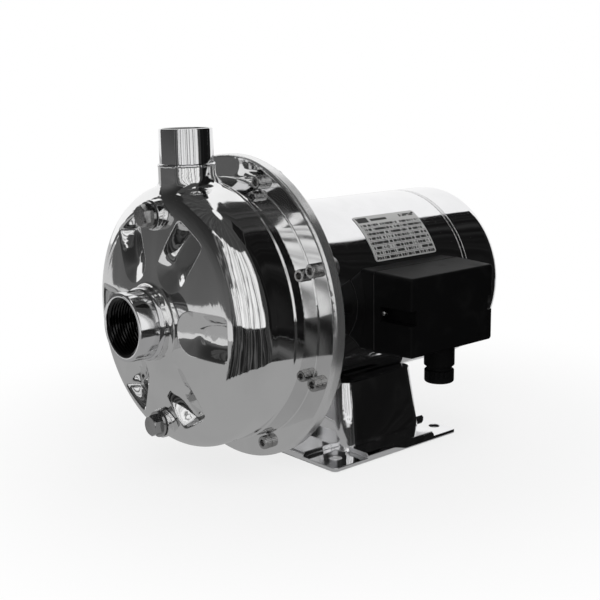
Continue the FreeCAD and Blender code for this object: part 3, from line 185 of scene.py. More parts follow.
class Bench:
    """Builds the nodes of one material or world."""

    def __init__(self, owner: Union[bpy.types.Material, bpy.types.World]) -> None:
        """Empties the owner's node tree.

        Args:
            owner: the material or world to fill.
        """
        owner.use_nodes = True
        self.tree = owner.node_tree
        self.tree.nodes.clear()

    def add(self, kind: str, settings: Optional[dict[str, Any]] = None,
            inputs: Optional[dict[Union[str, int], Any]] = None) -> bpy.types.Node:
        """Adds one node.

        Args:
            kind: the node's type.
            settings: properties that are set first.
            inputs: plain values or links for its sockets, by name or number.

        Returns:
            The new node.
        """
        node = self.tree.nodes.new(kind)
        for name, value in (settings or {}).items():
            setattr(node, name, value)
        for key, value in (inputs or {}).items():
            self.feed(node.inputs[key], value)
        return node

    def feed(self, socket: bpy.types.NodeSocket, value: Any) -> None:
        """Links a value to a socket, or sets the socket.

        Args:
            socket: the input to fill.
            value: a Value or an output to link, or a plain number or colour to set.
        """
        if isinstance(value, Value):
            self.tree.links.new(value.socket, socket)
        elif isinstance(value, bpy.types.NodeSocket):
            self.tree.links.new(value, socket)
        else:
            socket.default_value = value

    def math(self, operation: str, *values: Union[Value, Number]) -> Value:
        """Adds a Math node and returns its result."""
        node = self.add("ShaderNodeMath", {"operation": operation}, dict(enumerate(values)))
        return Value(self, node.outputs[0])

    def place(self) -> bpy.types.NodeSocket:
        """The point on the piece, in metres in the model's frame."""
        return self.add("ShaderNodeTexCoord").outputs["Object"]

    def parts(self, vector: bpy.types.NodeSocket) -> tuple[Value, Value, Value]:
        """The three components of a vector."""
        node = self.add("ShaderNodeSeparateXYZ", None, {0: vector})
        return tuple(Value(self, output) for output in node.outputs)

    def round_shaft(self, least: float = 0.001) -> tuple[Value, Value, Value, Value]:
        """Where a point lies round the shaft's line.

        Args:
            least: smallest distance from the line that the way out is divided by.

        Returns:
            Distance along the line, distance from it, and both parts of the way out from it.
        """
        along, side, up = self.parts(self.place())
        rise = up - SHAFT_HEIGHT
        reach = (side * side + rise * rise) ** 0.5
        out = reach.at_least(least)
        return along, reach, side / out, rise / out

    def lines(self, pitch: float) -> Value:
        """Even lines that follow each other along X, as a height of 0 to 1."""
        along, _, _ = self.parts(self.place())
        return (along * (math.tau / pitch)).wave() * 0.5 + 0.5

    def noise(self, scale: Number, detail: Number = 3.0, stretch: Sequence[float] = (1.0, 1.0, 1.0),
              twist: Number = 0.0) -> Value:
        """Cloudy noise between 0 and 1.

        Args:
            scale: clouds per metre.
            detail: octaves.
            stretch: scale along X, Y and Z.
            twist: distortion.

        Returns:
            The noise value.
        """
        mapping = self.add("ShaderNodeMapping", None, {"Vector": self.place(), "Scale": tuple(stretch)})
        node = self.add(
            "ShaderNodeTexNoise",
            None,
            {"Vector": mapping.outputs[0], "Scale": scale, "Detail": detail, "Distortion": twist},
        )
        return Value(self, node.outputs["Fac"])

    def pattern(self, parts: Sequence[Value], detail: Number) -> Value:
        """Noise at a point that is worked out from other values.

        Args:
            parts: the point's components, one to three.
            detail: octaves.

        Returns:
            The noise value.
        """
        point = self.add("ShaderNodeCombineXYZ", None, dict(enumerate(parts)))
        node = self.add(
            "ShaderNodeTexNoise", None, {"Vector": point.outputs[0], "Scale": 1.0, "Detail": detail}
        )
        return Value(self, node.outputs["Fac"])

    def blend(self, factor: Value, first: Any, second: Any) -> bpy.types.NodeSocket:
        """Mixes two colours by a factor.

        Args:
            factor: 0 gives the first, 1 the second.
            first: three numbers, or a colour's socket.
            second: three numbers, or a colour's socket.

        Returns:
            The mixed colour.
        """
        inputs = {MIX_FACTOR: factor}
        for index, colour in ((MIX_FIRST, first), (MIX_SECOND, second)):
            inputs[index] = colour if isinstance(colour, bpy.types.NodeSocket) else (*colour, 1.0)
        node = self.add("ShaderNodeMix", {"data_type": "RGBA"}, inputs)
        return node.outputs[MIX_RESULT]

    def bump(self, height: Value, distance: Number, strength: Number = 1.0,
             under: Optional[bpy.types.NodeSocket] = None) -> bpy.types.NodeSocket:
        """A normal that follows a height.

        Args:
            height: the relief, 0 to 1.
            distance: metres of relief at 1.
            strength: how much of it shows.
            under: a normal that it is laid on.

        Returns:
            The normal.
        """
        inputs = {"Height": height, "Distance": distance, "Strength": strength}
        if under is not None:
            inputs["Normal"] = under
        return self.add("ShaderNodeBump", None, inputs).outputs["Normal"]

    def rounded(self, radius: float, samples: int = 6) -> Optional[bpy.types.NodeSocket]:
        """A normal that shades sharp edges round.

        Args:
            radius: the edges' radius; 0 leaves them sharp.
            samples: how finely the edges are looked for.

        Returns:
            The normal, or None where the edges stay sharp.
        """
        if radius <= 0:
            return None
        return self.add("ShaderNodeBevel", {"samples": samples}, {"Radius": radius}).outputs[0]

    def surface(self, **inputs: Any) -> bpy.types.Node:
        """Adds the main shader and joins it to the output.

        Args:
            inputs: socket values, with underscores for blanks in the sockets' names.

        Returns:
            The shader node.
        """
        named = {name.replace("_", " "): value for name, value in inputs.items()}
        shader = self.add("ShaderNodeBsdfPrincipled", None, named)
        self.add("ShaderNodeOutputMaterial", None, {"Surface": shader.outputs[0]})
        return shader


@dataclass(frozen=True)
class Finish:
    """Base of the finishes.

    Attributes:
        name: the material's name.
        slot: the record's material slot.
    """

    name: str
    slot: str

    def dress(self, bench: Bench) -> None:
        """Fills the node tree; each finish has its own."""
        raise NotImplementedError

    def material(self) -> bpy.types.Material:
        """The finish's material, made on first use.

        Returns:
            The material.
        """
        found = bpy.data.materials.get(self.name)
        if found is None:
            found = bpy.data.materials.new(self.name)
            self.dress(Bench(found))
        return found


@dataclass(frozen=True)
class PolishedSteel(Finish):
    """Mirror-polished stainless sheet with faint ripples, haze and hairlines.

    Attributes:
        tone: how bright the metal is.
        haze: roughness where nothing smears it.
        ripple: height of its slow ripples.
        hairline: how the smears and hairlines are stretched along X, Y and Z.
        crease: radius that its sharp edges are shaded with.
    """

    tone: float = 0.80
    haze: float = 0.045
    ripple: float = 0.0012
    hairline: Sequence[float] = (1.0, 1.0, 1.0)
    crease: float = 0.0

    def dress(self, bench: Bench) -> None:
        """Fills the node tree.

        Args:
            bench: the material's helper.
        """
        smear = bench.noise(scale=70.0, detail=6.0, stretch=self.hairline, twist=0.3)
        hair = bench.noise(scale=900.0, detail=2.0, stretch=self.hairline)
        wave = bench.noise(scale=16.0, detail=2.0, twist=0.2)
        relief = bench.bump(wave, self.ripple, under=bench.rounded(self.crease))
        light = (self.tone, self.tone, self.tone * 1.01)
        dark = (self.tone * 0.93, self.tone * 0.93, self.tone * 0.94)
        rough = self.haze + smear.spread(0.45, 0.8, to_high=0.07) + hair.spread(0.55, 0.9, to_high=0.03)
        bench.surface(
            Base_Color=self.with_painted_shade(bench, bench.blend(self.clouds(bench), light, dark)),
            Metallic=1.0,
            Roughness=rough,
            Normal=bench.bump(hair, distance=0.00001, strength=0.25, under=relief),
        )

    @staticmethod
    def clouds(bench: Bench) -> Value:
        """Where the metal is a little darker, 0 to 1."""
        return bench.noise(scale=22.0, detail=4.0, twist=0.6).spread(0.3, 0.75)

    def with_painted_shade(self, bench: Bench, colour: bpy.types.NodeSocket) -> bpy.types.NodeSocket:
        """The metal's colour, with no painted shade here."""
        return colour


@dataclass(frozen=True)
class PressedSteel(PolishedSteel):
    """Polished pressing with drawing ripples round its wall and a brushed rim.

    Attributes:
        rim: radius outside which the metal is brushed.
        brushed: roughness of the rim.
        drawn: height of the ripples round the wall.
        wall_starts: radii between which the ripples set in.
        wall_ends: places along the shaft between which they fade out.
        rings_out: ripples per metre away from the shaft.
        rings_along: ripples per metre along the shaft.
        rings_round: how fast they change round the shaft.
    """

    rim: float = 0.1124
    brushed: float = 0.24
    drawn: float = 0.00035
    wall_starts: Span = (0.060, 0.080)
    wall_ends: Span = (-0.150, -0.138)
    rings_out: float = 130.0
    rings_along: float = 90.0
    rings_round: float = 1.6

    def dress(self, bench: Bench) -> None:
        """Fills the node tree.

        Args:
            bench: the material's helper.
        """
        along, reach, side, rise = bench.round_shaft()
        smear = bench.noise(scale=70.0, detail=6.0)
        brush = bench.noise(scale=1500.0, detail=2.0)
        wave = bench.noise(scale=14.0, detail=1.0)
        outward = reach * self.rings_out + along * self.rings_along
        spot = (outward, side * self.rings_round, rise * self.rings_round)
        wall = reach.spread(*self.wall_starts) * along.spread(*self.wall_ends, to_low=1.0, to_high=0.0)
        relief = bench.bump(wave, self.ripple, under=bench.rounded(self.crease))
        edge = reach.above(self.rim)
        plain = 1.0 - edge
        polish = self.haze + smear.spread(0.45, 0.8, to_high=0.06)
        bench.surface(
            Base_Color=bench.blend(self.clouds(bench), (self.tone,) * 3, (self.tone * 0.93,) * 3),
            Metallic=1.0 - edge * 0.06,
            Roughness=polish * plain + (self.brushed + brush * 0.03) * edge,
            Normal=bench.bump(bench.pattern(spot, 2.0) * wall, self.drawn, under=relief),
        )


@dataclass(frozen=True)
class BoredSteel(PolishedSteel):
    """Polished socket whose bore has shade painted dark into its colour.

    Attributes:
        axis: which way the bore runs.
        at: a point of its line, in the model's frame.
        bore: radius inside which dark shade is painted.
        shade: how bright the painted shade is there.
    """

    axis: Axis = Axis.SHAFT
    at: Sequence[float] = SUCTION_MOUTH
    bore: float = 0.0212
    shade: float = 0.05

    def with_painted_shade(self, bench: Bench, colour: bpy.types.NodeSocket) -> bpy.types.NodeSocket:
        """The metal's colour, with painted shade darkening the bore.

        Args:
            bench: the material's helper.
            colour: the metal's colour outside the bore.

        Returns:
            The colour everywhere.
        """
        along, side, up = bench.parts(bench.place())
        across = up - self.at[2] if self.axis is Axis.SHAFT else along - self.at[0]
        beside = side - self.at[1]
        reach = (across * across + beside * beside) ** 0.5
        # Painted shade: inside the bore the colour is mixed to dark.
        return bench.blend(reach.below(self.bore), colour, (self.shade,) * 3)


@dataclass(frozen=True)
class TurnedSteel(Finish):
    """Machined steel with fine tool lines round its axis.

    Attributes:
        tone: how bright the metal is.
        base: its least roughness.
        pitch: distance of the tool lines.
    """

    tone: float = 0.62
    base: float = 0.24
    pitch: float = 0.0006

    def dress(self, bench: Bench) -> None:
        """Fills the node tree.

        Args:
            bench: the material's helper.
        """
        grime = bench.noise(scale=45.0, detail=5.0)
        dark = (self.tone * 0.8, self.tone * 0.79, self.tone * 0.78)
        bench.surface(
            Base_Color=bench.blend(grime.spread(0.35, 0.8), (self.tone,) * 3, dark),
            Metallic=1.0,
            Roughness=self.base + grime.spread(0.4, 0.8, to_high=0.15),
            Normal=bench.bump(bench.lines(self.pitch), distance=0.000008, strength=0.6),
        )


@dataclass(frozen=True)
class CastAlloy(Finish):
    """Blasted light-alloy casting with a fine grain.

    Attributes:
        tone: how bright the metal is.
        base: its least roughness.
    """

    tone: float = 0.60
    base: float = 0.34

    def dress(self, bench: Bench) -> None:
        """Fills the node tree.

        Args:
            bench: the material's helper.
        """
        grain = bench.noise(scale=1400.0, detail=3.0)
        cloud = bench.noise(scale=35.0, detail=5.0)
        light = (self.tone, self.tone, self.tone * 1.01)
        dark = (self.tone * 0.75, self.tone * 0.75, self.tone * 0.74)
        bench.surface(
            Base_Color=bench.blend(cloud.spread(0.3, 0.8), light, dark),
            Metallic=1.0,
            Roughness=self.base + cloud.spread(0.3, 0.8, to_high=0.14),
            Normal=bench.bump(grain, distance=0.00005, strength=0.7),
        )


@dataclass(frozen=True)
class MouldedPlastic(Finish):
    """Black moulded plastic with a spark-eroded grain and slight dust.

    Attributes:
        tone: how bright the plastic is.
        base: its least roughness.
        grain: grains per metre.
        gloss: strength of its mirror image.
    """

    tone: float = 0.0035
    base: float = 0.42
    grain: float = 1500.0
    gloss: float = 0.06

    def dress(self, bench: Bench) -> None:
        """Fills the node tree.

        Args:
            bench: the material's helper.
        """
        fine = bench.noise(scale=self.grain, detail=2.0)
        dust = bench.noise(scale=60.0, detail=6.0, twist=0.5).spread(0.5, 0.85)
        clean = (self.tone, self.tone, self.tone * 1.05)
        bench.surface(
            Base_Color=bench.blend(dust, clean, (self.tone * 2.2,) * 3),
            Roughness=self.base + dust * 0.12 + fine * 0.06,
            Specular_IOR_Level=self.gloss,
            Normal=bench.bump(fine, distance=0.00006, strength=0.55),
        )


@dataclass(frozen=True)
class PlainRubber(Finish):
    """Matt black rubber.

    Attributes:
        tone: how bright the rubber is.
        base: its least roughness.
    """

    tone: float = 0.022
    base: float = 0.6

    def dress(self, bench: Bench) -> None:
        """Fills the node tree.

        Args:
            bench: the material's helper.
        """
        bloom = bench.noise(scale=120.0, detail=5.0)
        bench.surface(
            Base_Color=bench.blend(bloom, (self.tone,) * 3, (self.tone * 1.8,) * 3),
            Roughness=self.base + bloom * 0.2,
            Normal=bench.bump(bench.noise(scale=800.0, detail=2.0), distance=0.00004, strength=0.5),
        )


@dataclass(frozen=True)
class PlainMetal(Finish):
    """An inner metal such as brass, copper wire or stacked sheet.

    Attributes:
        colour: the metal's colour where it is clean.
        base: its least roughness.
        pitch: distance of its wires or sheets; 0 gives a plain grain.
    """

    colour: Sequence[float] = (0.7, 0.55, 0.27)
    base: float = 0.3
    pitch: float = 0.0

    def dress(self, bench: Bench) -> None:
        """Fills the node tree.

        Args:
            bench: the material's helper.
        """
        tarnish = bench.noise(scale=90.0, detail=5.0)
        darker = tuple(part * 0.7 for part in self.colour)
        height = bench.lines(self.pitch) if self.pitch > 0 else bench.noise(scale=700.0, detail=2.0)
        bench.surface(
            Base_Color=bench.blend(tarnish.spread(0.35, 0.8), self.colour, darker),
            Metallic=1.0,
            Roughness=self.base + tarnish.spread(0.3, 0.8, to_high=0.18),
            Normal=bench.bump(height, distance=0.00005, strength=0.5),
        )


@dataclass(frozen=True)
class FiredRing(Finish):
    """Lapped ceramic or carbon of the seal's faces.

    Attributes:
        colour: the ring's colour.
        base: its least roughness.
    """

    colour: Sequence[float] = (0.8, 0.78, 0.74)
    base: float = 0.15

    def dress(self, bench: Bench) -> None:
        """Fills the node tree.

        Args:
            bench: the material's helper.
        """
        speck = bench.noise(scale=900.0, detail=4.0)
        bench.surface(
            Base_Color=bench.blend(speck, self.colour, tuple(part * 0.85 for part in self.colour)),
            Roughness=self.base + speck * 0.08,
            Normal=bench.bump(speck, distance=0.00001, strength=0.3),
        )


@dataclass(frozen=True)
class RatingPlate(Finish):
    """Satin aluminium plate with a ruled table of plain dashes and a plain dark block.

    Places on it are shares of its width, from the left, and of its height, from below.

    Attributes:
        low: lowest place along the shaft and lowest angle of the plate.
        high: highest place and angle.
        tube: radius of the tube that it lies on.
        rows: rows of the table.
        columns: (place, rows from below) of each upright line.
        margin: bare edge round the table.
        top: upper edge of the table.
        line: width of a ruled line.
        dash_rows: lowest and highest part of a row that its dashes take.
        dashes: how many dashes the width could take.
        row_step: how far the dashes differ from row to row.
        dash_limit: noise over which a dash is dark.
        block: (left, right) and (lower, upper) edges of the dark block.
        bar: the same of the bar beside it.
        stamps: the same of the dashes at the right.
        metal: colour of the bare plate.
        ink: colour of the marks.
    """

    low: Span = (0.0, 0.0)
    high: Span = (1.0, 1.0)
    tube: float = 0.0735
    rows: int = 8
    columns: Sequence[tuple[float, int]] = ((0.27, 5), (0.50, 4), (0.74, 3))
    margin: float = 0.02
    top: float = 0.80
    line: float = 0.00028
    dash_rows: Span = (0.26, 0.80)
    dashes: float = 46.0
    row_step: float = 7.31
    dash_limit: float = 0.445
    block: tuple[Span, Span] = ((0.03, 0.20), (0.83, 0.96))
    bar: tuple[Span, Span] = ((0.24, 0.50), (0.85, 0.91))
    stamps: tuple[Span, Span] = ((0.72, 0.95), (0.87, 0.94))
    metal: Sequence[float] = (0.50, 0.50, 0.495)
    ink: Sequence[float] = (0.010, 0.010, 0.010)

    def dress(self, bench: Bench) -> None:
        """Fills the node tree.

        Args:
            bench: the material's helper.
        """
        along, side, up = bench.parts(bench.place())
        width = self.high[0] - self.low[0]
        height = self.high[1] - self.low[1]
        across = (along - self.low[0]) / width
        climb = (bench.math("ARCTAN2", up - SHAFT_HEIGHT, 0.0 - side) - self.low[1]) / height
        level = climb * (self.rows / self.top)
        row = level.whole()
        rise = level.rest()
        marks = rise.below(self.line / (height * self.tube) * self.rows / self.top)
        for place, rows in self.columns:
            column = (across - place).size().below(self.line / width / 2)
            marks = marks.at_least(column * level.below(rows))
        marks = marks.at_least(self._dashes(bench, across, row) * rise.within(*self.dash_rows))
        table = across.within(self.margin, 1.0 - self.margin) * climb.within(self.margin, self.top)
        block, bar, stamps = (
            across.within(*wide) * climb.within(*tall) for wide, tall in (self.block, self.bar, self.stamps)
        )
        stamps = stamps * self._dashes(bench, across, row + 3.0)
        inked = (marks * table).at_least(block).at_least(bar).at_least(stamps)
        brush = bench.noise(scale=500.0, detail=3.0, stretch=(0.05, 1.0, 1.0))
        bench.surface(
            Base_Color=bench.blend(inked, self.metal, self.ink),
            Metallic=0.25 - inked * 0.25,
            Roughness=0.42 + brush * 0.14,
            Normal=bench.bump(brush + inked * 0.6, distance=0.00002, strength=0.4),
        )

    def _dashes(self, bench: Bench, across: Value, row: Value) -> Value:
        """Plain dashes of uneven length, other ones in each row."""
        noise = bench.pattern((across * self.dashes, row * self.row_step), 1.0)
        return noise.above(self.dash_limit)


@dataclass(frozen=True)
class FinishSet:
    """All the finishes of the pump.

    Attributes:
        casing: the pressed casing.
        tube: motor tube and fan cover.
        weld: weld beads of the sockets.
        suction: suction socket, with painted shade in its bore.
        discharge: discharge socket, with painted shade in its bore.
        seam: rear end shield, whose rim shows between tube and fan cover.
        pressing: foot.
        turned: bare turned steel.
        screw: screws, tie rods and plugs.
        alloy: light-alloy castings.
        plastic: terminal box and gland.
        fan_plastic: fan.
        rubber: seals and gaskets.
        brass: terminal studs.
        copper: windings.
        stack: stacked sheet of the stator and the rotor.
        ceramic: standing face of the shaft seal.
        carbon: turning face of the shaft seal.
    """

    casing: Finish = PressedSteel(
        "casing_polish", "polished_steel", tone=0.86, haze=0.045, ripple=0.0008, crease=0.0010
    )
    tube: Finish = PolishedSteel(
        "tube_polish", "polished_steel", tone=0.87, haze=0.05, ripple=0.0004, hairline=(0.1, 1.0, 1.0),
        crease=0.0008,
    )
    weld: Finish = PolishedSteel("weld_polish", "polished_steel", tone=0.78, haze=0.09, ripple=0.0002)
    suction: Finish = BoredSteel("suction_polish", "polished_steel", tone=0.80, haze=0.07, ripple=0.0002)
    discharge: Finish = BoredSteel(
        "discharge_polish", "polished_steel", tone=0.80, haze=0.07, ripple=0.0002, axis=Axis.UPRIGHT,
        at=DISCHARGE_MOUTH, bore=0.0168,
    )
    seam: Finish = PolishedSteel(
        "seam_polish", "cast_aluminium", tone=0.7, haze=0.10, ripple=0.0002, crease=0.0014
    )
    pressing: Finish = PolishedSteel(
        "foot_polish", "polished_steel", tone=0.84, haze=0.04, ripple=0.0010, crease=0.0012
    )
    turned: Finish = TurnedSteel("turned_bare", "turned_steel")
    screw: Finish = TurnedSteel("screw_steel", "fastener_steel", tone=0.46, base=0.17, pitch=0.0004)
    alloy: Finish = CastAlloy("cast_alloy", "cast_aluminium")
    plastic: Finish = MouldedPlastic("moulded_black", "black_plastic")
    fan_plastic: Finish = MouldedPlastic("fan_plastic", "black_plastic", tone=0.03, base=0.5)
    rubber: Finish = PlainRubber("plain_rubber", "rubber")
    brass: Finish = PlainMetal("stud_brass", "brass")
    copper: Finish = PlainMetal(
        "winding_copper", "copper", colour=(0.55, 0.25, 0.12), base=0.35, pitch=0.0011
    )
    stack: Finish = PlainMetal(
        "sheet_stack", "lamination_steel", colour=(0.22, 0.22, 0.23), base=0.45, pitch=0.0010
    )
    ceramic: Finish = FiredRing("seal_ceramic", "ceramic")
    carbon: Finish = FiredRing("seal_carbon", "carbon", colour=(0.05, 0.05, 0.055))


FINISHES = FinishSet()


class MeshKit:
    """Turns rows of points into pieces."""

    @staticmethod
    def link(name: str, data: bpy.types.ID) -> bpy.types.Object:
        """Makes an object and puts it in the scene.

        Args:
            name: the object's name.
            data: its mesh, lamp or camera.

        Returns:
            The new object.
        """
        thing = bpy.data.objects.new(name, data)
        bpy.context.scene.collection.objects.link(thing)
        return thing

    @staticmethod
    def piece(name: str, vertices: Sequence[Vector], faces: Sequence[Sequence[int]], finish: Finish,
              body: str, smooth_degrees: float = 35.0) -> bpy.types.Object:
        """Makes a dressed piece that rides on a body.

        Args:
            name: the piece's name.
            vertices: its points, in the model's frame.
            faces: indices of each face's points.
            finish: what it is dressed in.
            body: the body that it moves with.
            smooth_degrees: edges flatter than this are shaded smooth.

        Returns:
            The new object.
        """
        mesh = bpy.data.meshes.new(name)
        mesh.from_pydata([tuple(vertex) for vertex in vertices], [], [tuple(face) for face in faces])
        mesh.validate()
        shaped = bmesh.new()
        shaped.from_mesh(mesh)
        bmesh.ops.remove_doubles(shaped, verts=shaped.verts, dist=1e-7)
        bmesh.ops.recalc_face_normals(shaped, faces=shaped.faces)
        limit = math.radians(smooth_degrees)
        for edge in shaped.edges:
            edge.smooth = len(edge.link_faces) == 2 and edge.calc_face_angle(0.0) < limit
        for face in shaped.faces:
            face.smooth = True
        shaped.to_mesh(mesh)
        shaped.free()
        thing = MeshKit.link(name, mesh)
        mesh.materials.append(finish.material())
        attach(thing, body)
        return thing

    @staticmethod
    def quads(rows: int, columns: int, rows_close: bool = False, columns_close: bool = False) -> Faces:
        """Faces between rows of points.

        Args:
            rows: how many rows there are.
            columns: points in each row.
            rows_close: whether the last row is joined to the first.
            columns_close: whether the last point of each row is joined to its first.

        Returns:
            The faces.
        """
        faces = []
        for row in range(rows if rows_close else rows - 1):
            here = row * columns
            after = (row + 1) % rows * columns
            for column in range(columns if columns_close else columns - 1):
                beside = (column + 1) % columns
                faces.append([here + column, here + beside, after + beside, after + column])
        return faces

    @staticmethod
    def join(parts: Sequence[tuple[list[Vector], Faces]]) -> tuple[list[Vector], Faces]:
        """Puts several sets of points and faces together.

        Args:
            parts: points and faces of each part.

        Returns:
            All points and faces.
        """
        points: list[Vector] = []
        faces: Faces = []
        for part_points, part_faces in parts:
            faces += [[corner + len(points) for corner in face] for face in part_faces]
            points += part_points
        return points, faces

    @staticmethod
    def turn(rows: Section, centre: Vector, axis: Axis, steps: int = 96,
             slide: Optional[Callable[[int, float], float]] = None) -> tuple[list[Vector], Faces]:
        """Turns rows of (distance along the axis, radius) into points and faces.

        Args:
            rows: the section; a radius may be a function of the angle. The first and last rows are joined.
            centre: where the axis passes at distance 0.
            axis: which way the axis runs.
            steps: points round each row.
            slide: moves a point along the axis, by row number and angle.

        Returns:
            Points and faces.
        """
        points: list[Vector] = []
        for index, (distance, radius) in enumerate(rows):
            for step in range(steps):
                angle = math.tau * step / steps
                reach = radius(angle) if callable(radius) else radius
                along = distance + (slide(index, angle) if slide else 0.0)
                side = reach * math.cos(angle)
                rise = reach * math.sin(angle)
                if axis is Axis.SHAFT:
                    points.append(centre + Vector((along, -side, rise)))
                elif axis is Axis.UPRIGHT:
                    points.append(centre + Vector((side, rise, along)))
                else:
                    points.append(centre + Vector((side, -along, rise)))
        return points, MeshKit.quads(len(rows), steps, rows_close=True, columns_close=True)


@dataclass
class ThreadedSocket:
    """A pipe socket with a real internal thread.

    Attributes:
        name: the piece's name.
        node: the model's node that it stands for.
        finish: what it is dressed in.
        axis: which way it runs.
        centre: the middle of its mouth.
        inward: +1 or -1, the way from the mouth into the pump along the axis.
        outer: outside radius.
        minor: the thread's inner radius.
        major: the thread's outer radius.
        pitch: the thread's pitch.
        thread_length: how far the thread runs.
        tail: (distance from the mouth, radius) rows that follow the thread, back to the outside.
        chamfer: bevel of the mouth's outer edge.
        countersink: how much wider than the thread the mouth is.
        lead: where the thread starts.
        flank: steepness of the thread's flanks.
        flat: how much of each crest is cut flat.
        per_turn: rows in each turn of the thread.
        steps: points round it.
    """

    name: str
    node: str
    finish: Finish
    axis: Axis
    centre: Vector
    inward: float
    outer: float
    minor: float
    major: float
    pitch: float
    thread_length: float
    tail: Sequence[tuple[float, float]]
    chamfer: float = 0.0009
    countersink: float = 0.0004
    lead: float = 0.0008
    flank: float = 1.25
    flat: float = 0.12
    per_turn: int = 9
    steps: int = 120

    def build(self) -> bpy.types.Object:
        """Builds the socket.

        Returns:
            The new object.
        """
        rows: Section = [
            (self.chamfer * 1.2, self.outer),
            (self.chamfer * 0.25, self.outer - self.chamfer * 0.3),
            (0.0, self.outer - self.chamfer),
            (0.0, self.major + self.countersink),
        ]
        count = int(self.thread_length / self.pitch * self.per_turn)
        for index in range(count + 1):
            distance = self.lead + (self.thread_length - self.lead) * index / count
            rows.append((distance, self._thread(distance)))
        rows += self.tail
        placed = [(self.inward * distance, radius) for distance, radius in rows]
        points, faces = MeshKit.turn(placed, self.centre, self.axis, self.steps)
        thing = MeshKit.piece(self.name, points, faces, self.finish, "pump_body", 50.0)
        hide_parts(self.node)
        return thing

    def _thread(self, distance: float) -> Callable[[float], float]:
        """The thread's form round one row.

        Args:
            distance: the row's distance from the mouth.

        Returns:
            The radius by angle.
        """
        fade = min(1.0, (self.thread_length - distance) / (2 * self.pitch))
        depth = (self.major - self.minor) * max(fade, 0.0)

        def radius(angle: float) -> float:
            """The radius at an angle.

            Args:
                angle: where round the row.

            Returns:
                The radius.
            """
            phase = (distance / self.pitch - self.inward * angle / math.tau) % 1.0
            tooth = abs(2 * phase - 1)
            return self.minor + depth * min(1.0, max(0.0, self.flank * tooth - self.flat))

        return radius


@dataclass
class SocketScrews:
    """The knurled socket head screws of the flange.

    Attributes:
        face_x: where their heads sit.
        circle: radius of the circle that they stand on.
        first: angle of the first one, in degrees.
        head_radius: radius of a head.
        head_height: height of a head.
        flats: width of the recess across its flats.
        depth: depth of the recess.
        shank: radius of the shank.
        length: length of the shank.
        count: how many screws there are.
        knurls: grooves round a head.
        knurl_depth: depth of a groove.
        stand: how far the recess of each screw is turned from the one before, in radians.
        steps: points round a screw.
    """

    face_x: float = -0.103
    circle: float = 0.1035
    first: float = 22.5
    head_radius: float = 0.005
    head_height: float = 0.006
    flats: float = 0.005
    depth: float = 0.0032
    shank: float = 0.00295
    length: float = 0.016
    count: int = 8
    knurls: int = 30
    knurl_depth: float = 0.00022
    stand: float = 0.37
    steps: int = 120

    def build(self) -> bpy.types.Object:
        """Builds all the screws as one piece.

        Returns:
            The new object.
        """
        parts = []
        for index in range(self.count):
            angle = math.radians(self.first + index * 360.0 / self.count)
            centre = Vector(
                (self.face_x, -self.circle * math.cos(angle), SHAFT_HEIGHT + self.circle * math.sin(angle))
            )
            parts.append(MeshKit.turn(self._rows(index * self.stand), centre, Axis.SHAFT, self.steps))
        points, faces = MeshKit.join(parts)
        thing = MeshKit.piece("flange_screw_set", points, faces, FINISHES.screw, "pump_body", 30.0)
        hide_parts("flange_screws")
        return thing

    def _rows(self, turn: float) -> Section:
        """The section of one screw, from its tip to the floor of its recess.

        Args:
            turn: how its recess stands, in radians.

        Returns:
            The section's rows.
        """
        top = -self.head_height
        edge = self.head_radius - 0.0005
        round_edge = self.head_radius - 0.0001

        def knurled(angle: float) -> float:
            """The head's radius with its knurls."""
            return self.head_radius - self.knurl_depth * (0.5 + 0.5 * math.cos(self.knurls * angle))

        def hexagon(angle: float) -> float:
            """The recess's radius at an angle."""
            around = (angle + turn) % (math.pi / 3) - math.pi / 6
            return self.flats / 2 / math.cos(around)

        return [
            (self.length, 0.0),
            (self.length, self.shank - 0.0006),
            (self.length - 0.0007, self.shank),
            (0.0, self.shank),
            (0.0, edge),
            (-0.0004, round_edge),
            (-0.0009, knurled),
            (top + 0.0011, knurled),
            (top + 0.0007, round_edge),
            (top + 0.0002, edge),
            (top, self.head_radius - 0.0011),
            (top, self.flats / 2 + 0.0006),
            (top + 0.0003, hexagon),
            (top + self.depth, hexagon),
            (top + self.depth + 0.0008, 0.0),
        ]


@dataclass
class WeldBead:
    """A dressed weld with overlapping ripples where a socket meets the casing.

    Attributes:
        name: the piece's name.
        axis: which way its axis runs.
        centre: the middle of the bead.
        radius: distance of the bead's middle from the axis.
        wide: half its width along the axis.
        proud: half its height.
        ripples: how many ripples run round it.
        uneven: height of a ripple.
        wander: ripples to one sway of the bead along the axis, as a share.
        sides: rows round the bead's section.
        steps: points round the socket.
    """

    name: str
    axis: Axis
    centre: Vector
    radius: float
    wide: float
    proud: float
    ripples: int
    uneven: float = 0.00012
    wander: float = 0.31
    sides: int = 10
    steps: int = 240

    def build(self) -> bpy.types.Object:
        """Builds the bead.

        Returns:
            The new object.
        """
        rows: Section = []
        for step in range(self.sides):
            turn = math.tau * step / self.sides
            rows.append((self.wide * math.cos(turn), self._ring(math.sin(turn))))
        points, faces = MeshKit.turn(rows, self.centre, self.axis, self.steps, self._sway)
        return MeshKit.piece(self.name, points, faces, FINISHES.weld, "pump_body", 60.0)

    def _sway(self, row: int, angle: float) -> float:
        """How far a point of any row is moved along the axis."""
        return self.uneven * math.sin(self.ripples * angle * self.wander)

    def _ring(self, lift: float) -> Callable[[float], float]:
        """The form of the bead round one row, with its ripples.

        Args:
            lift: the row's place in the bead's height, -1 to 1.

        Returns:
            The radius by angle.
        """

        def radius(angle: float) -> float:
            """The radius at an angle."""
            ripple = self.uneven * math.sin(self.ripples * angle) * max(lift, 0.0)
            return self.radius + self.proud * lift + ripple

        return radius


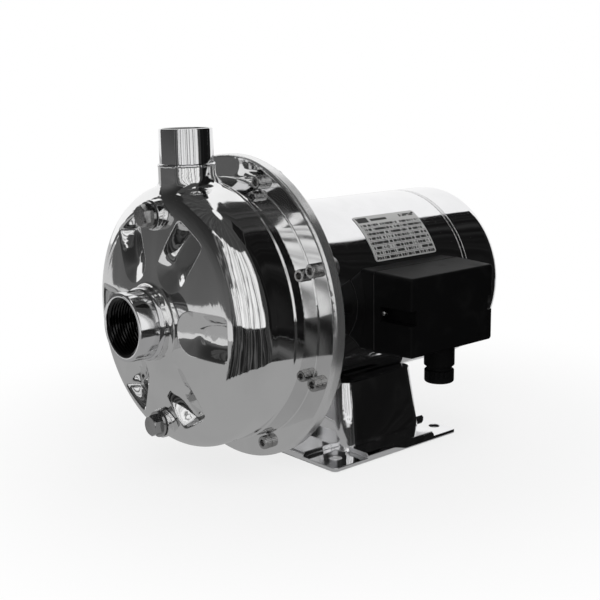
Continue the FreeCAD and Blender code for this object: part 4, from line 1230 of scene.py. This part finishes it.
@dataclass
class CoverScrews:
    """Cross-recessed screws in the channels of the terminal box.

    Attributes:
        places: (X, Z) of each screw.
        seat_y: where their heads sit.
        head: radius of a head.
        height: height of a head.
        shank: radius of the shank.
        length: length of the shank.
        recess: depth of the cross.
        slot: half the width of its slots.
        shares: radii of the rows on a head's top, as shares of its radius.
    """

    places: Sequence[tuple[float, float]] = ((-0.03065, 0.1157), (0.05365, 0.1157))
    seat_y: float = -0.0885
    head: float = 0.00245
    height: float = 0.0024
    shank: float = 0.00195
    length: float = 0.0113
    recess: float = 0.0011
    slot: float = 0.00034
    shares: Sequence[float] = (0.5, 0.4, 0.3, 0.2, 0.1, 0.0)

    def build(self) -> bpy.types.Object:
        """Builds both screws as one piece.

        Returns:
            The new object.
        """
        parts = []
        for x, z in self.places:
            seat = Vector((x, self.seat_y, z))
            parts.append(MeshKit.turn(self._rows(), seat, Axis.FRONT, slide=self._recess))
        points, faces = MeshKit.join(parts)
        thing = MeshKit.piece("box_screw_set", points, faces, FINISHES.screw, "pump_body", 40.0)
        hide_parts("box_cover_screws")
        return thing

    def _rows(self) -> Section:
        """The section of one screw, from the tip to the middle of its head.

        Returns:
            The section's rows.
        """
        rows: Section = [
            (-self.length, 0.0),
            (-self.length + 0.0006, self.shank),
            (0.0, self.shank),
            (0.0, self.head),
            (self.height * 0.45, self.head),
            (self.height * 0.8, self.head * 0.86),
            (self.height, self.head * 0.6),
        ]
        return rows + [(self.height, self.head * share) for share in self.shares]

    def _recess(self, row: int, angle: float) -> float:
        """Pushes the cross of the head in.

        Args:
            row: the section's row.
            angle: where round the head.

        Returns:
            How far the point moves along the axis.
        """
        first = len(self._rows()) - len(self.shares)
        if row <= first:
            return 0.0
        reach = self.head * self.shares[row - first]
        off = min(abs(math.sin(angle)), abs(math.cos(angle))) * reach
        return -self.recess if off < self.slot else 0.0


@dataclass
class Nameplate:
    """Blank plate bent to the motor tube, held by four rivets.

    Attributes:
        x_low: its edge towards the pump.
        x_high: its edge towards the fan.
        low: angle of its lower edge, in degrees over the level.
        high: angle of its upper edge.
        tube: radius of the motor tube.
        gap: how far it lies off the tube.
        thick: height of its face over the tube.
        corner: radius of its corners.
        columns: faces along it.
        rows: faces up it.
        rivet: radius of a rivet's head.
        dome: height of a rivet's head, as a share of its radius.
        inset: distance of the rivets from its edges.
        rivet_rows: faces up a rivet's head.
        rivet_steps: faces round it.
    """

    x_low: float = -0.0162
    x_high: float = 0.0505
    low: float = 25.2
    high: float = 57.5
    tube: float = 0.07325
    gap: float = 0.00005
    thick: float = 0.0004
    corner: float = 0.002
    columns: int = 48
    rows: int = 24
    rivet: float = 0.0011
    dome: float = 0.55
    inset: float = 0.0026
    rivet_rows: int = 6
    rivet_steps: int = 24

    def build(self) -> list[bpy.types.Object]:
        """Builds the plate and its rivets.

        Returns:
            The new objects.
        """
        wide = self.columns + 1
        layer_size = wide * (self.rows + 1)
        points = [
            self._point(column / self.columns, row / self.rows, lift)
            for lift in (self.gap, self.thick)
            for row in range(self.rows + 1)
            for column in range(wide)
        ]
        under = MeshKit.quads(self.rows + 1, wide)
        faces = under + [[corner + layer_size for corner in face] for face in under]
        rim = list(range(wide))
        rim += [row * wide + self.columns for row in range(1, self.rows + 1)]
        rim += [self.rows * wide + column for column in range(self.columns - 1, -1, -1)]
        rim += [row * wide for row in range(self.rows - 1, 0, -1)]
        for start, following in zip(rim, rim[1:] + rim[:1]):
            faces.append([start, following, following + layer_size, start + layer_size])
        finish = RatingPlate(
            "rating_plate",
            "turned_steel",
            low=(self.x_low, math.radians(self.low)),
            high=(self.x_high, math.radians(self.high)),
        )
        plate = MeshKit.piece("blank_plate", points, faces, finish, "pump_body", 40.0)
        return [plate, self._rivets()]

    def _point(self, across: float, climb: float, lift: float) -> Vector:
        """A point of the plate, pulled in at its round corners.

        Args:
            across: share of its width.
            climb: share of its height.
            lift: distance from the tube.

        Returns:
            The point.
        """
        width = self.x_high - self.x_low
        height = math.radians(self.high - self.low) * self.tube
        u = (across - 0.5) * width
        v = (climb - 0.5) * height
        inner_u = width / 2 - self.corner
        inner_v = height / 2 - self.corner
        if abs(u) > inner_u and abs(v) > inner_v:
            over = Vector((abs(u) - inner_u, abs(v) - inner_v))
            most = max(over.x, over.y)
            over = over.normalized() * most
            u = math.copysign(inner_u + over.x, u)
            v = math.copysign(inner_v + over.y, v)
        angle = math.radians((self.low + self.high) / 2) + v / self.tube
        reach = self.tube + lift
        x = (self.x_low + self.x_high) / 2 + u
        return Vector((x, -reach * math.cos(angle), SHAFT_HEIGHT + reach * math.sin(angle)))

    def _rivets(self) -> bpy.types.Object:
        """Builds the four rivets as one piece.

        Returns:
            The new object.
        """
        turn = self.inset / self.tube
        angles = (math.radians(self.low) + turn, math.radians(self.high) - turn)
        places = (self.x_low + self.inset, self.x_high - self.inset)
        parts = [self._rivet(place, angle) for place in places for angle in angles]
        points, faces = MeshKit.join(parts)
        return MeshKit.piece("plate_rivets", points, faces, FINISHES.screw, "pump_body", 60.0)

    def _rivet(self, x: float, angle: float) -> tuple[list[Vector], Faces]:
        """One domed rivet.

        Args:
            x: its place along the shaft.
            angle: its angle round the tube.

        Returns:
            Points and faces.
        """
        out = Vector((0.0, -math.cos(angle), math.sin(angle)))
        side = Vector((1.0, 0.0, 0.0))
        up = out.cross(side)
        base = Vector((x, 0.0, SHAFT_HEIGHT)) + out * (self.tube + self.thick)
        points = []
        for row in range(self.rivet_rows + 1):
            lift = math.pi / 2 * row / self.rivet_rows
            reach = self.rivet * math.cos(lift)
            middle = base + out * (self.rivet * self.dome * math.sin(lift))
            for step in range(self.rivet_steps):
                turn = math.tau * step / self.rivet_steps
                points.append(middle + side * (reach * math.cos(turn)) + up * (reach * math.sin(turn)))
        return points, MeshKit.quads(self.rivet_rows + 1, self.rivet_steps, columns_close=True)


@dataclass
class Dressing:
    """Gives each of the model's own nodes its finish, and softens the edges that show.

    Attributes:
        bevels: width of the rounded edges, by node.
    """

    frame: dict[str, Any]
    bevels: dict[str, float] = field(default_factory=dict)

    def finish_of(self, node: str) -> Finish:
        """The finish of a node.

        Args:
            node: the node's name.

        Returns:
            Its finish.
        """
        groups: list[tuple[Finish, tuple[str, ...]]] = [
            (FINISHES.casing, ("pump_casing",)),
            (FINISHES.tube, ("motor_shell", "fan_cover")),
            (FINISHES.suction, ("suction_port",)),
            (FINISHES.discharge, ("discharge_port",)),
            (FINISHES.pressing, ("foot",)),
            (FINISHES.screw, ("flange_screws", "tie_rods", "box_cover_screws", "priming_plug", "drain_plug")),
            (FINISHES.alloy, ("motor_bracket", "rotor_end_rings")),
            (FINISHES.seam, ("rear_end_shield",)),
            (FINISHES.plastic, ("box_pad", "box_base", "box_cover", "terminal_board")),
            (FINISHES.plastic, ("gland_body", "gland_nut", "gland_locknut")),
            (FINISHES.fan_plastic, ("fan",)),
            (FINISHES.rubber, ("casing_o_ring", "seal_seat_cup", "seal_bellows", "slinger", "box_gasket")),
            (FINISHES.rubber, ("gland_seal", "priming_gasket", "drain_gasket")),
            (FINISHES.brass, ("terminal_studs",)),
            (FINISHES.copper, ("stator_windings",)),
            (FINISHES.stack, ("stator_core", "rotor_core")),
            (FINISHES.ceramic, ("seal_seat",)),
            (FINISHES.carbon, ("seal_ring",)),
        ]
        for finish, nodes in groups:
            if node in nodes:
                return finish
        return FINISHES.turned

    def build(self) -> int:
        """Dresses all the nodes.

        Returns:
            How many nodes were dressed.
        """
        for name, thing in self.frame["nodes"].items():
            finish = self.finish_of(name)
            if not thing.material_slots:
                thing.data.materials.append(finish.material())
            for slot in thing.material_slots:
                slot.material = finish.material()
            width = self.bevels.get(name)
            if width:
                self._soften(thing, width)
        return len(self.frame["nodes"])

    @staticmethod
    def _soften(thing: bpy.types.Object, width: float) -> None:
        """Rounds the sharp edges of a node with a modifier.

        Args:
            thing: the node.
            width: width of the rounding.
        """
        rounding = thing.modifiers.new("edge_rounding", "BEVEL")
        rounding.width = width
        rounding.segments = 3
        rounding.limit_method = "ANGLE"
        rounding.angle_limit = math.radians(40)
        rounding.harden_normals = True


@dataclass
class Card:
    """A glowing screen or table card that only polished metal mirrors: a painted reflection.

    Attributes:
        name: its name.
        around: azimuths of its first and last edge, in degrees from +X towards +Y.
        upward: elevations of its lower and upper edge, in degrees, as the casing's middle sees them.
        tone: its brightness.
        streaks: how much brighter its streaks are; darker if negative.
        top: its brightness at the upper edge, if that differs.
        flat: whether it lies on the table instead of standing.
        level: how high over the floor it lies.
        tall: how many rows of faces it has.
        facet: width of a face, in degrees.
        reach: how far away it stands.
        least_fall: smallest angle below the level, in radians, at which a lying card is seen.
        least_height: how near the floor a standing card comes.
        centre: the casing's middle.
    """

    name: str
    around: Span
    upward: Span
    tone: float
    streaks: float
    top: Optional[float] = None
    flat: bool = False
    level: float = 0.0004
    tall: int = 2
    facet: float = 4.0
    reach: float = 1.1
    least_fall: float = 0.03
    least_height: float = 0.002
    centre: Vector = field(default_factory=lambda: Vector((-0.10, 0.0, SHAFT_HEIGHT)))

    def build(self) -> None:
        """Builds the card."""
        first, last = self.around
        low, high = self.upward
        wide = max(2, int(abs(last - first) / self.facet))
        points = []
        for row in range(self.tall + 1):
            climb = math.radians(low + (high - low) * row / self.tall)
            for step in range(wide + 1):
                angle = math.radians(first + (last - first) * step / wide)
                points.append(self._point(angle, climb))
        mesh = bpy.data.meshes.new(self.name)
        mesh.from_pydata(points, [], MeshKit.quads(self.tall + 1, wide + 1))
        thing = MeshKit.link(self.name, mesh)
        mesh.materials.append(self._material())
        for kind in ("camera", "diffuse", "shadow", "transmission", "volume_scatter"):
            setattr(thing, "visible_" + kind, False)

    def _point(self, angle: float, climb: float) -> tuple[float, float, float]:
        """Where the card meets a line of sight.

        Args:
            angle: the line's azimuth.
            climb: its elevation.

        Returns:
            The point.
        """
        if self.flat:
            reach = (SHAFT_HEIGHT - self.level) / math.tan(max(-climb, self.least_fall))
            height = self.level
        else:
            reach = self.reach * math.cos(climb)
            height = max(self.centre.z + self.reach * math.sin(climb), self.least_height)
        return self.centre.x + reach * math.cos(angle), self.centre.y + reach * math.sin(angle), height

    def _material(self) -> bpy.types.Material:
        """Glowing emission with soft upright streaks, the colour of a painted reflection.

        Returns:
            The material.
        """
        material = bpy.data.materials.new(self.name)
        bench = Bench(material)
        east, north, up = bench.parts(bench.place())
        turn = bench.math("ARCTAN2", north - self.centre.y, east - self.centre.x)
        streak = bench.add(
            "ShaderNodeTexNoise", {"noise_dimensions": "1D"}, {"W": turn, "Scale": 11.0, "Detail": 3.0}
        )
        share = Value(bench, streak.outputs[0]).spread(0.42, 0.68)
        bright = self.tone + self.streaks
        colour = bench.blend(share, (self.tone,) * 3, (bright,) * 3)
        if self.top is not None:
            foot, head = (self.centre.z + self.reach * math.sin(math.radians(edge)) for edge in self.upward)
            colour = bench.blend(up.spread(foot, head), colour, (self.top,) * 3)
        # The card glows, and only polished metal shows it: a painted reflection.
        glow = bench.add("ShaderNodeEmission", None, {"Color": colour, "Strength": 1.0})
        bench.add("ShaderNodeOutputMaterial", None, {"Surface": glow.outputs[0]})
        return material


@dataclass
class Studio:
    """Plain pale floor, soft light, glowing cards of painted reflection round the set and the camera.

    Attributes:
        camera_at: where the camera stands.
        heading: the way it looks, in degrees from +X towards +Y.
        tilt: how far it looks up, in degrees; down if negative.
        roll: how far it is rolled, in degrees.
        focal_pixels: its focal length, in pixels of the picture.
        centre_x: the picture's optical centre, in pixels from the left.
        centre_y: the same from above.
        frame_pixels: width of the picture.
        sensor: width of the film, in millimetres.
        floor_reach: half the floor's width.
        fade: distances from the origin between which the floor turns plain white.
        least_glow: how white the camera sees the floor under the pump.
        fill: strength of the world as plain light.
    """

    camera_at: Vector = field(default_factory=lambda: Vector((-0.56345, -0.61039, 0.27874)))
    heading: float = 50.0
    tilt: float = -12.42
    roll: float = -1.2
    focal_pixels: float = 1040.03
    centre_x: float = 284.76
    centre_y: float = 315.8
    frame_pixels: float = 600.0
    sensor: float = 36.0
    floor_reach: float = 6.0
    fade: Span = (0.17, 0.40)
    least_glow: float = 0.78
    fill: float = 0.62

    def build(self) -> None:
        """Builds the camera, the floor, the screens, the lamps and the world."""
        self._camera()
        self._floor()
        self._screens()
        self._lamps()
        self._world()

    def _camera(self) -> None:
        """Sets the camera to the photograph's viewpoint."""
        data = bpy.data.cameras.new("view_camera")
        camera = MeshKit.link("view_camera", data)
        heading = math.radians(self.heading)
        tilt = math.radians(self.tilt)
        roll = math.radians(self.roll)
        level = Vector((math.cos(heading), math.sin(heading), 0.0))
        right = Vector((math.sin(heading), -math.cos(heading), 0.0))
        upright = Vector((0.0, 0.0, 1.0))
        ahead = level * math.cos(tilt) + upright * math.sin(tilt)
        rise = -level * math.sin(tilt) + upright * math.cos(tilt)
        across = right * math.cos(roll) + rise * math.sin(roll)
        above = -right * math.sin(roll) + rise * math.cos(roll)
        turned = Matrix((across, above, -ahead)).transposed().to_4x4()
        camera.matrix_world = Matrix.Translation(self.camera_at) @ turned
        data.sensor_width = self.sensor
        data.lens = self.sensor * self.focal_pixels / self.frame_pixels
        data.shift_x = (self.frame_pixels / 2 - self.centre_x) / self.frame_pixels
        data.shift_y = (self.centre_y - self.frame_pixels / 2) / self.frame_pixels
        data.clip_start = 0.01
        data.clip_end = 50.0
        data.dof.use_dof = False
        bpy.context.scene.camera = camera

    def _floor(self) -> None:
        """Builds a wide pale floor that keeps the pump's shadow and fades to white for the camera."""
        reach = self.floor_reach
        mesh = bpy.data.meshes.new("studio_floor")
        corners = [(-reach, -reach, 0.0), (reach, -reach, 0.0), (reach, reach, 0.0), (-reach, reach, 0.0)]
        mesh.from_pydata(corners, [], [(0, 1, 2, 3)])
        floor = MeshKit.link("studio_floor", mesh)
        material = bpy.data.materials.new("studio_floor")
        bench = Bench(material)
        path = bench.add("ShaderNodeLightPath")
        seen = Value(bench, path.outputs["Is Camera Ray"])
        east, north, _ = bench.parts(bench.place())
        away = (east * east + north * north) ** 0.5
        grain = bench.noise(scale=3.0, detail=2.0)
        pale = bench.blend(grain, (0.80,) * 3, (0.83,) * 3)
        matt = bench.add("ShaderNodeBsdfDiffuse", None, {"Color": pale})
        glow = bench.add("ShaderNodeEmission", None, {"Color": WHITE, "Strength": 1.0})
        share = seen * away.spread(*self.fade, to_low=self.least_glow)
        mixed = bench.add("ShaderNodeMixShader", None, {0: share, 1: matt.outputs[0], 2: glow.outputs[0]})
        bench.add("ShaderNodeOutputMaterial", None, {"Surface": mixed.outputs[0]})
        mesh.materials.append(material)

    def _screens(self) -> None:
        """Builds the cards that stand and lie round the set, as painted reflections."""
        # Painted reflections of walls, a window, a ceiling and a table, seen only in the metal.
        cards = [
            Card("screen_wall", (106.0, 183.0), (-13.0, 52.0), tone=0.12, streaks=0.01, top=0.025, tall=6),
            Card("screen_side", (296.0, 338.0), (-30.0, 72.0), tone=0.006, streaks=0.012, tall=6),
            Card("screen_far_side", (338.0, 357.0), (-34.0, 41.0), tone=0.006, streaks=0.02),
            Card("screen_corner", (183.0, 201.0), (-10.0, 50.0), tone=0.05, streaks=0.16),
            Card("window", (201.0, 284.0), (-4.0, 54.0), tone=1.0, streaks=-0.80, tall=6),
            Card("screen_end", (284.0, 296.0), (-4.0, 62.0), tone=0.03, streaks=0.04),
            Card("screen_ceiling", (60.0, 335.0), (52.0, 84.0), tone=0.05, streaks=0.04, tall=6),
            Card("screen_beam", (335.0, 391.0), (50.5, 84.0), tone=0.03, streaks=0.03, tall=6),
            Card("table_dark", (183.0, 300.0), (-27.0, -3.0), tone=0.012, streaks=0.09, flat=True),
            Card(
                "table_black", (300.0, 350.0), (-42.0, -3.0), tone=0.006, streaks=0.01, flat=True,
                level=0.0008,
            ),
            Card("table_grey", (0.0, 360.0), (-89.0, -27.0), tone=0.36, streaks=0.0, flat=True, level=0.0006),
            Card("table_left", (60.0, 183.0), (-27.0, -12.0), tone=0.36, streaks=0.0, flat=True),
        ]
        for card in cards:
            card.build()

    @staticmethod
    def _lamps() -> None:
        """Builds one large soft lamp above the front and a weaker one behind."""
        target = Vector((0.0, 0.0, 0.1))
        for name, place, size, power in (
            ("key_lamp", Vector((-0.7, -0.9, 1.6)), 1.3, 9.0),
            ("back_lamp", Vector((0.9, 0.8, 1.4)), 1.0, 4.0),
        ):
            data = bpy.data.lights.new(name, "AREA")
            data.shape = "SQUARE"
            data.size = size
            data.energy = power
            lamp = MeshKit.link(name, data)
            lamp.location = place
            lamp.visible_glossy = False
            lamp.rotation_euler = (target - place).to_track_quat("-Z", "Y").to_euler()

    def _world(self) -> None:
        """Sets white surroundings, a little dimmer as plain light than as they show."""
        world = bpy.data.worlds.new("studio_world")
        bpy.context.scene.world = world
        bench = Bench(world)
        path = bench.add("ShaderNodeLightPath")
        seen, mirrored, passed = (
            Value(bench, path.outputs[f"Is {kind} Ray"]) for kind in ("Camera", "Glossy", "Transmission")
        )
        shown = seen.at_least(mirrored).at_least(passed)
        strength = self.fill + shown * (1.0 - self.fill)
        glow = bench.add("ShaderNodeBackground", None, {"Color": WHITE, "Strength": strength})
        bench.add("ShaderNodeOutputWorld", None, {"Surface": glow.outputs[0]})


@dataclass
class Pump:
    """The dressed pump: its own nodes and the pieces that stand for small detail.

    Attributes:
    """

    frame: dict[str, Any]

    def sockets(self) -> list[bpy.types.Object]:
        """Builds both pipe sockets with their threads.

        Returns:
            The new objects.
        """
        suction = ThreadedSocket(
            name="suction_socket",
            node="suction_port",
            finish=FINISHES.suction,
            axis=Axis.SHAFT,
            centre=Vector(SUCTION_MOUTH),
            inward=1.0,
            outer=0.0245,
            minor=0.019476,
            major=0.020955,
            pitch=PIPE_THREAD_PITCH,
            thread_length=0.0276,
            tail=[(0.0276, 0.02257), (0.0386, 0.02257), (0.0386, 0.0245)],
        )
        discharge = ThreadedSocket(
            name="discharge_socket",
            node="discharge_port",
            finish=FINISHES.discharge,
            axis=Axis.UPRIGHT,
            centre=Vector(DISCHARGE_MOUTH),
            inward=-1.0,
            outer=0.0191,
            minor=0.015146,
            major=0.0166,
            pitch=PIPE_THREAD_PITCH,
            thread_length=0.028,
            tail=[(0.035, 0.015146), (0.035, 0.01830), (0.026, 0.01830), (0.026, 0.0191)],
        )
        return [suction.build(), discharge.build()]

    def beads(self) -> list[bpy.types.Object]:
        """Builds the welds of both sockets.

        Returns:
            The new objects.
        """
        suction = WeldBead(
            name="suction_weld",
            axis=Axis.SHAFT,
            centre=Vector((-0.1800, 0.0, SHAFT_HEIGHT)),
            radius=0.0247,
            wide=0.0036,
            proud=0.0017,
            ripples=0,
        )
        discharge = WeldBead(
            name="discharge_weld",
            axis=Axis.UPRIGHT,
            centre=Vector((DISCHARGE_MOUTH[0], 0.0, 0.2262)),
            radius=0.01955,
            wide=0.0016,
            proud=0.0010,
            ripples=60,
        )
        return [suction.build(), discharge.build()]

    def build(self) -> None:
        """Builds and dresses everything."""
        softened = {
            "box_cover": 0.0006,
            "box_base": 0.0005,
            "box_pad": 0.0005,
            "foot": 0.0010,
            "gland_body": 0.0003,
            "priming_plug": 0.0003,
            "drain_plug": 0.0003,
        }
        count = Dressing(self.frame, softened).build()
        LOG.info("dressed %d nodes", count)
        pieces = self.sockets() + self.beads()
        pieces.append(SocketScrews().build())
        pieces.append(CoverScrews().build())
        pieces += Nameplate().build()
        for piece in pieces:
            LOG.info("built %s", piece.name)


def main() -> None:
    """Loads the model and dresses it."""
    logging.basicConfig(level=logging.INFO, format="%(name)s: %(message)s")
    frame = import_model()
    scene = bpy.context.scene
    scene.view_settings.view_transform = "Standard"
    Studio().build()
    Pump(frame).build()


if __name__ == "__main__":
    main()
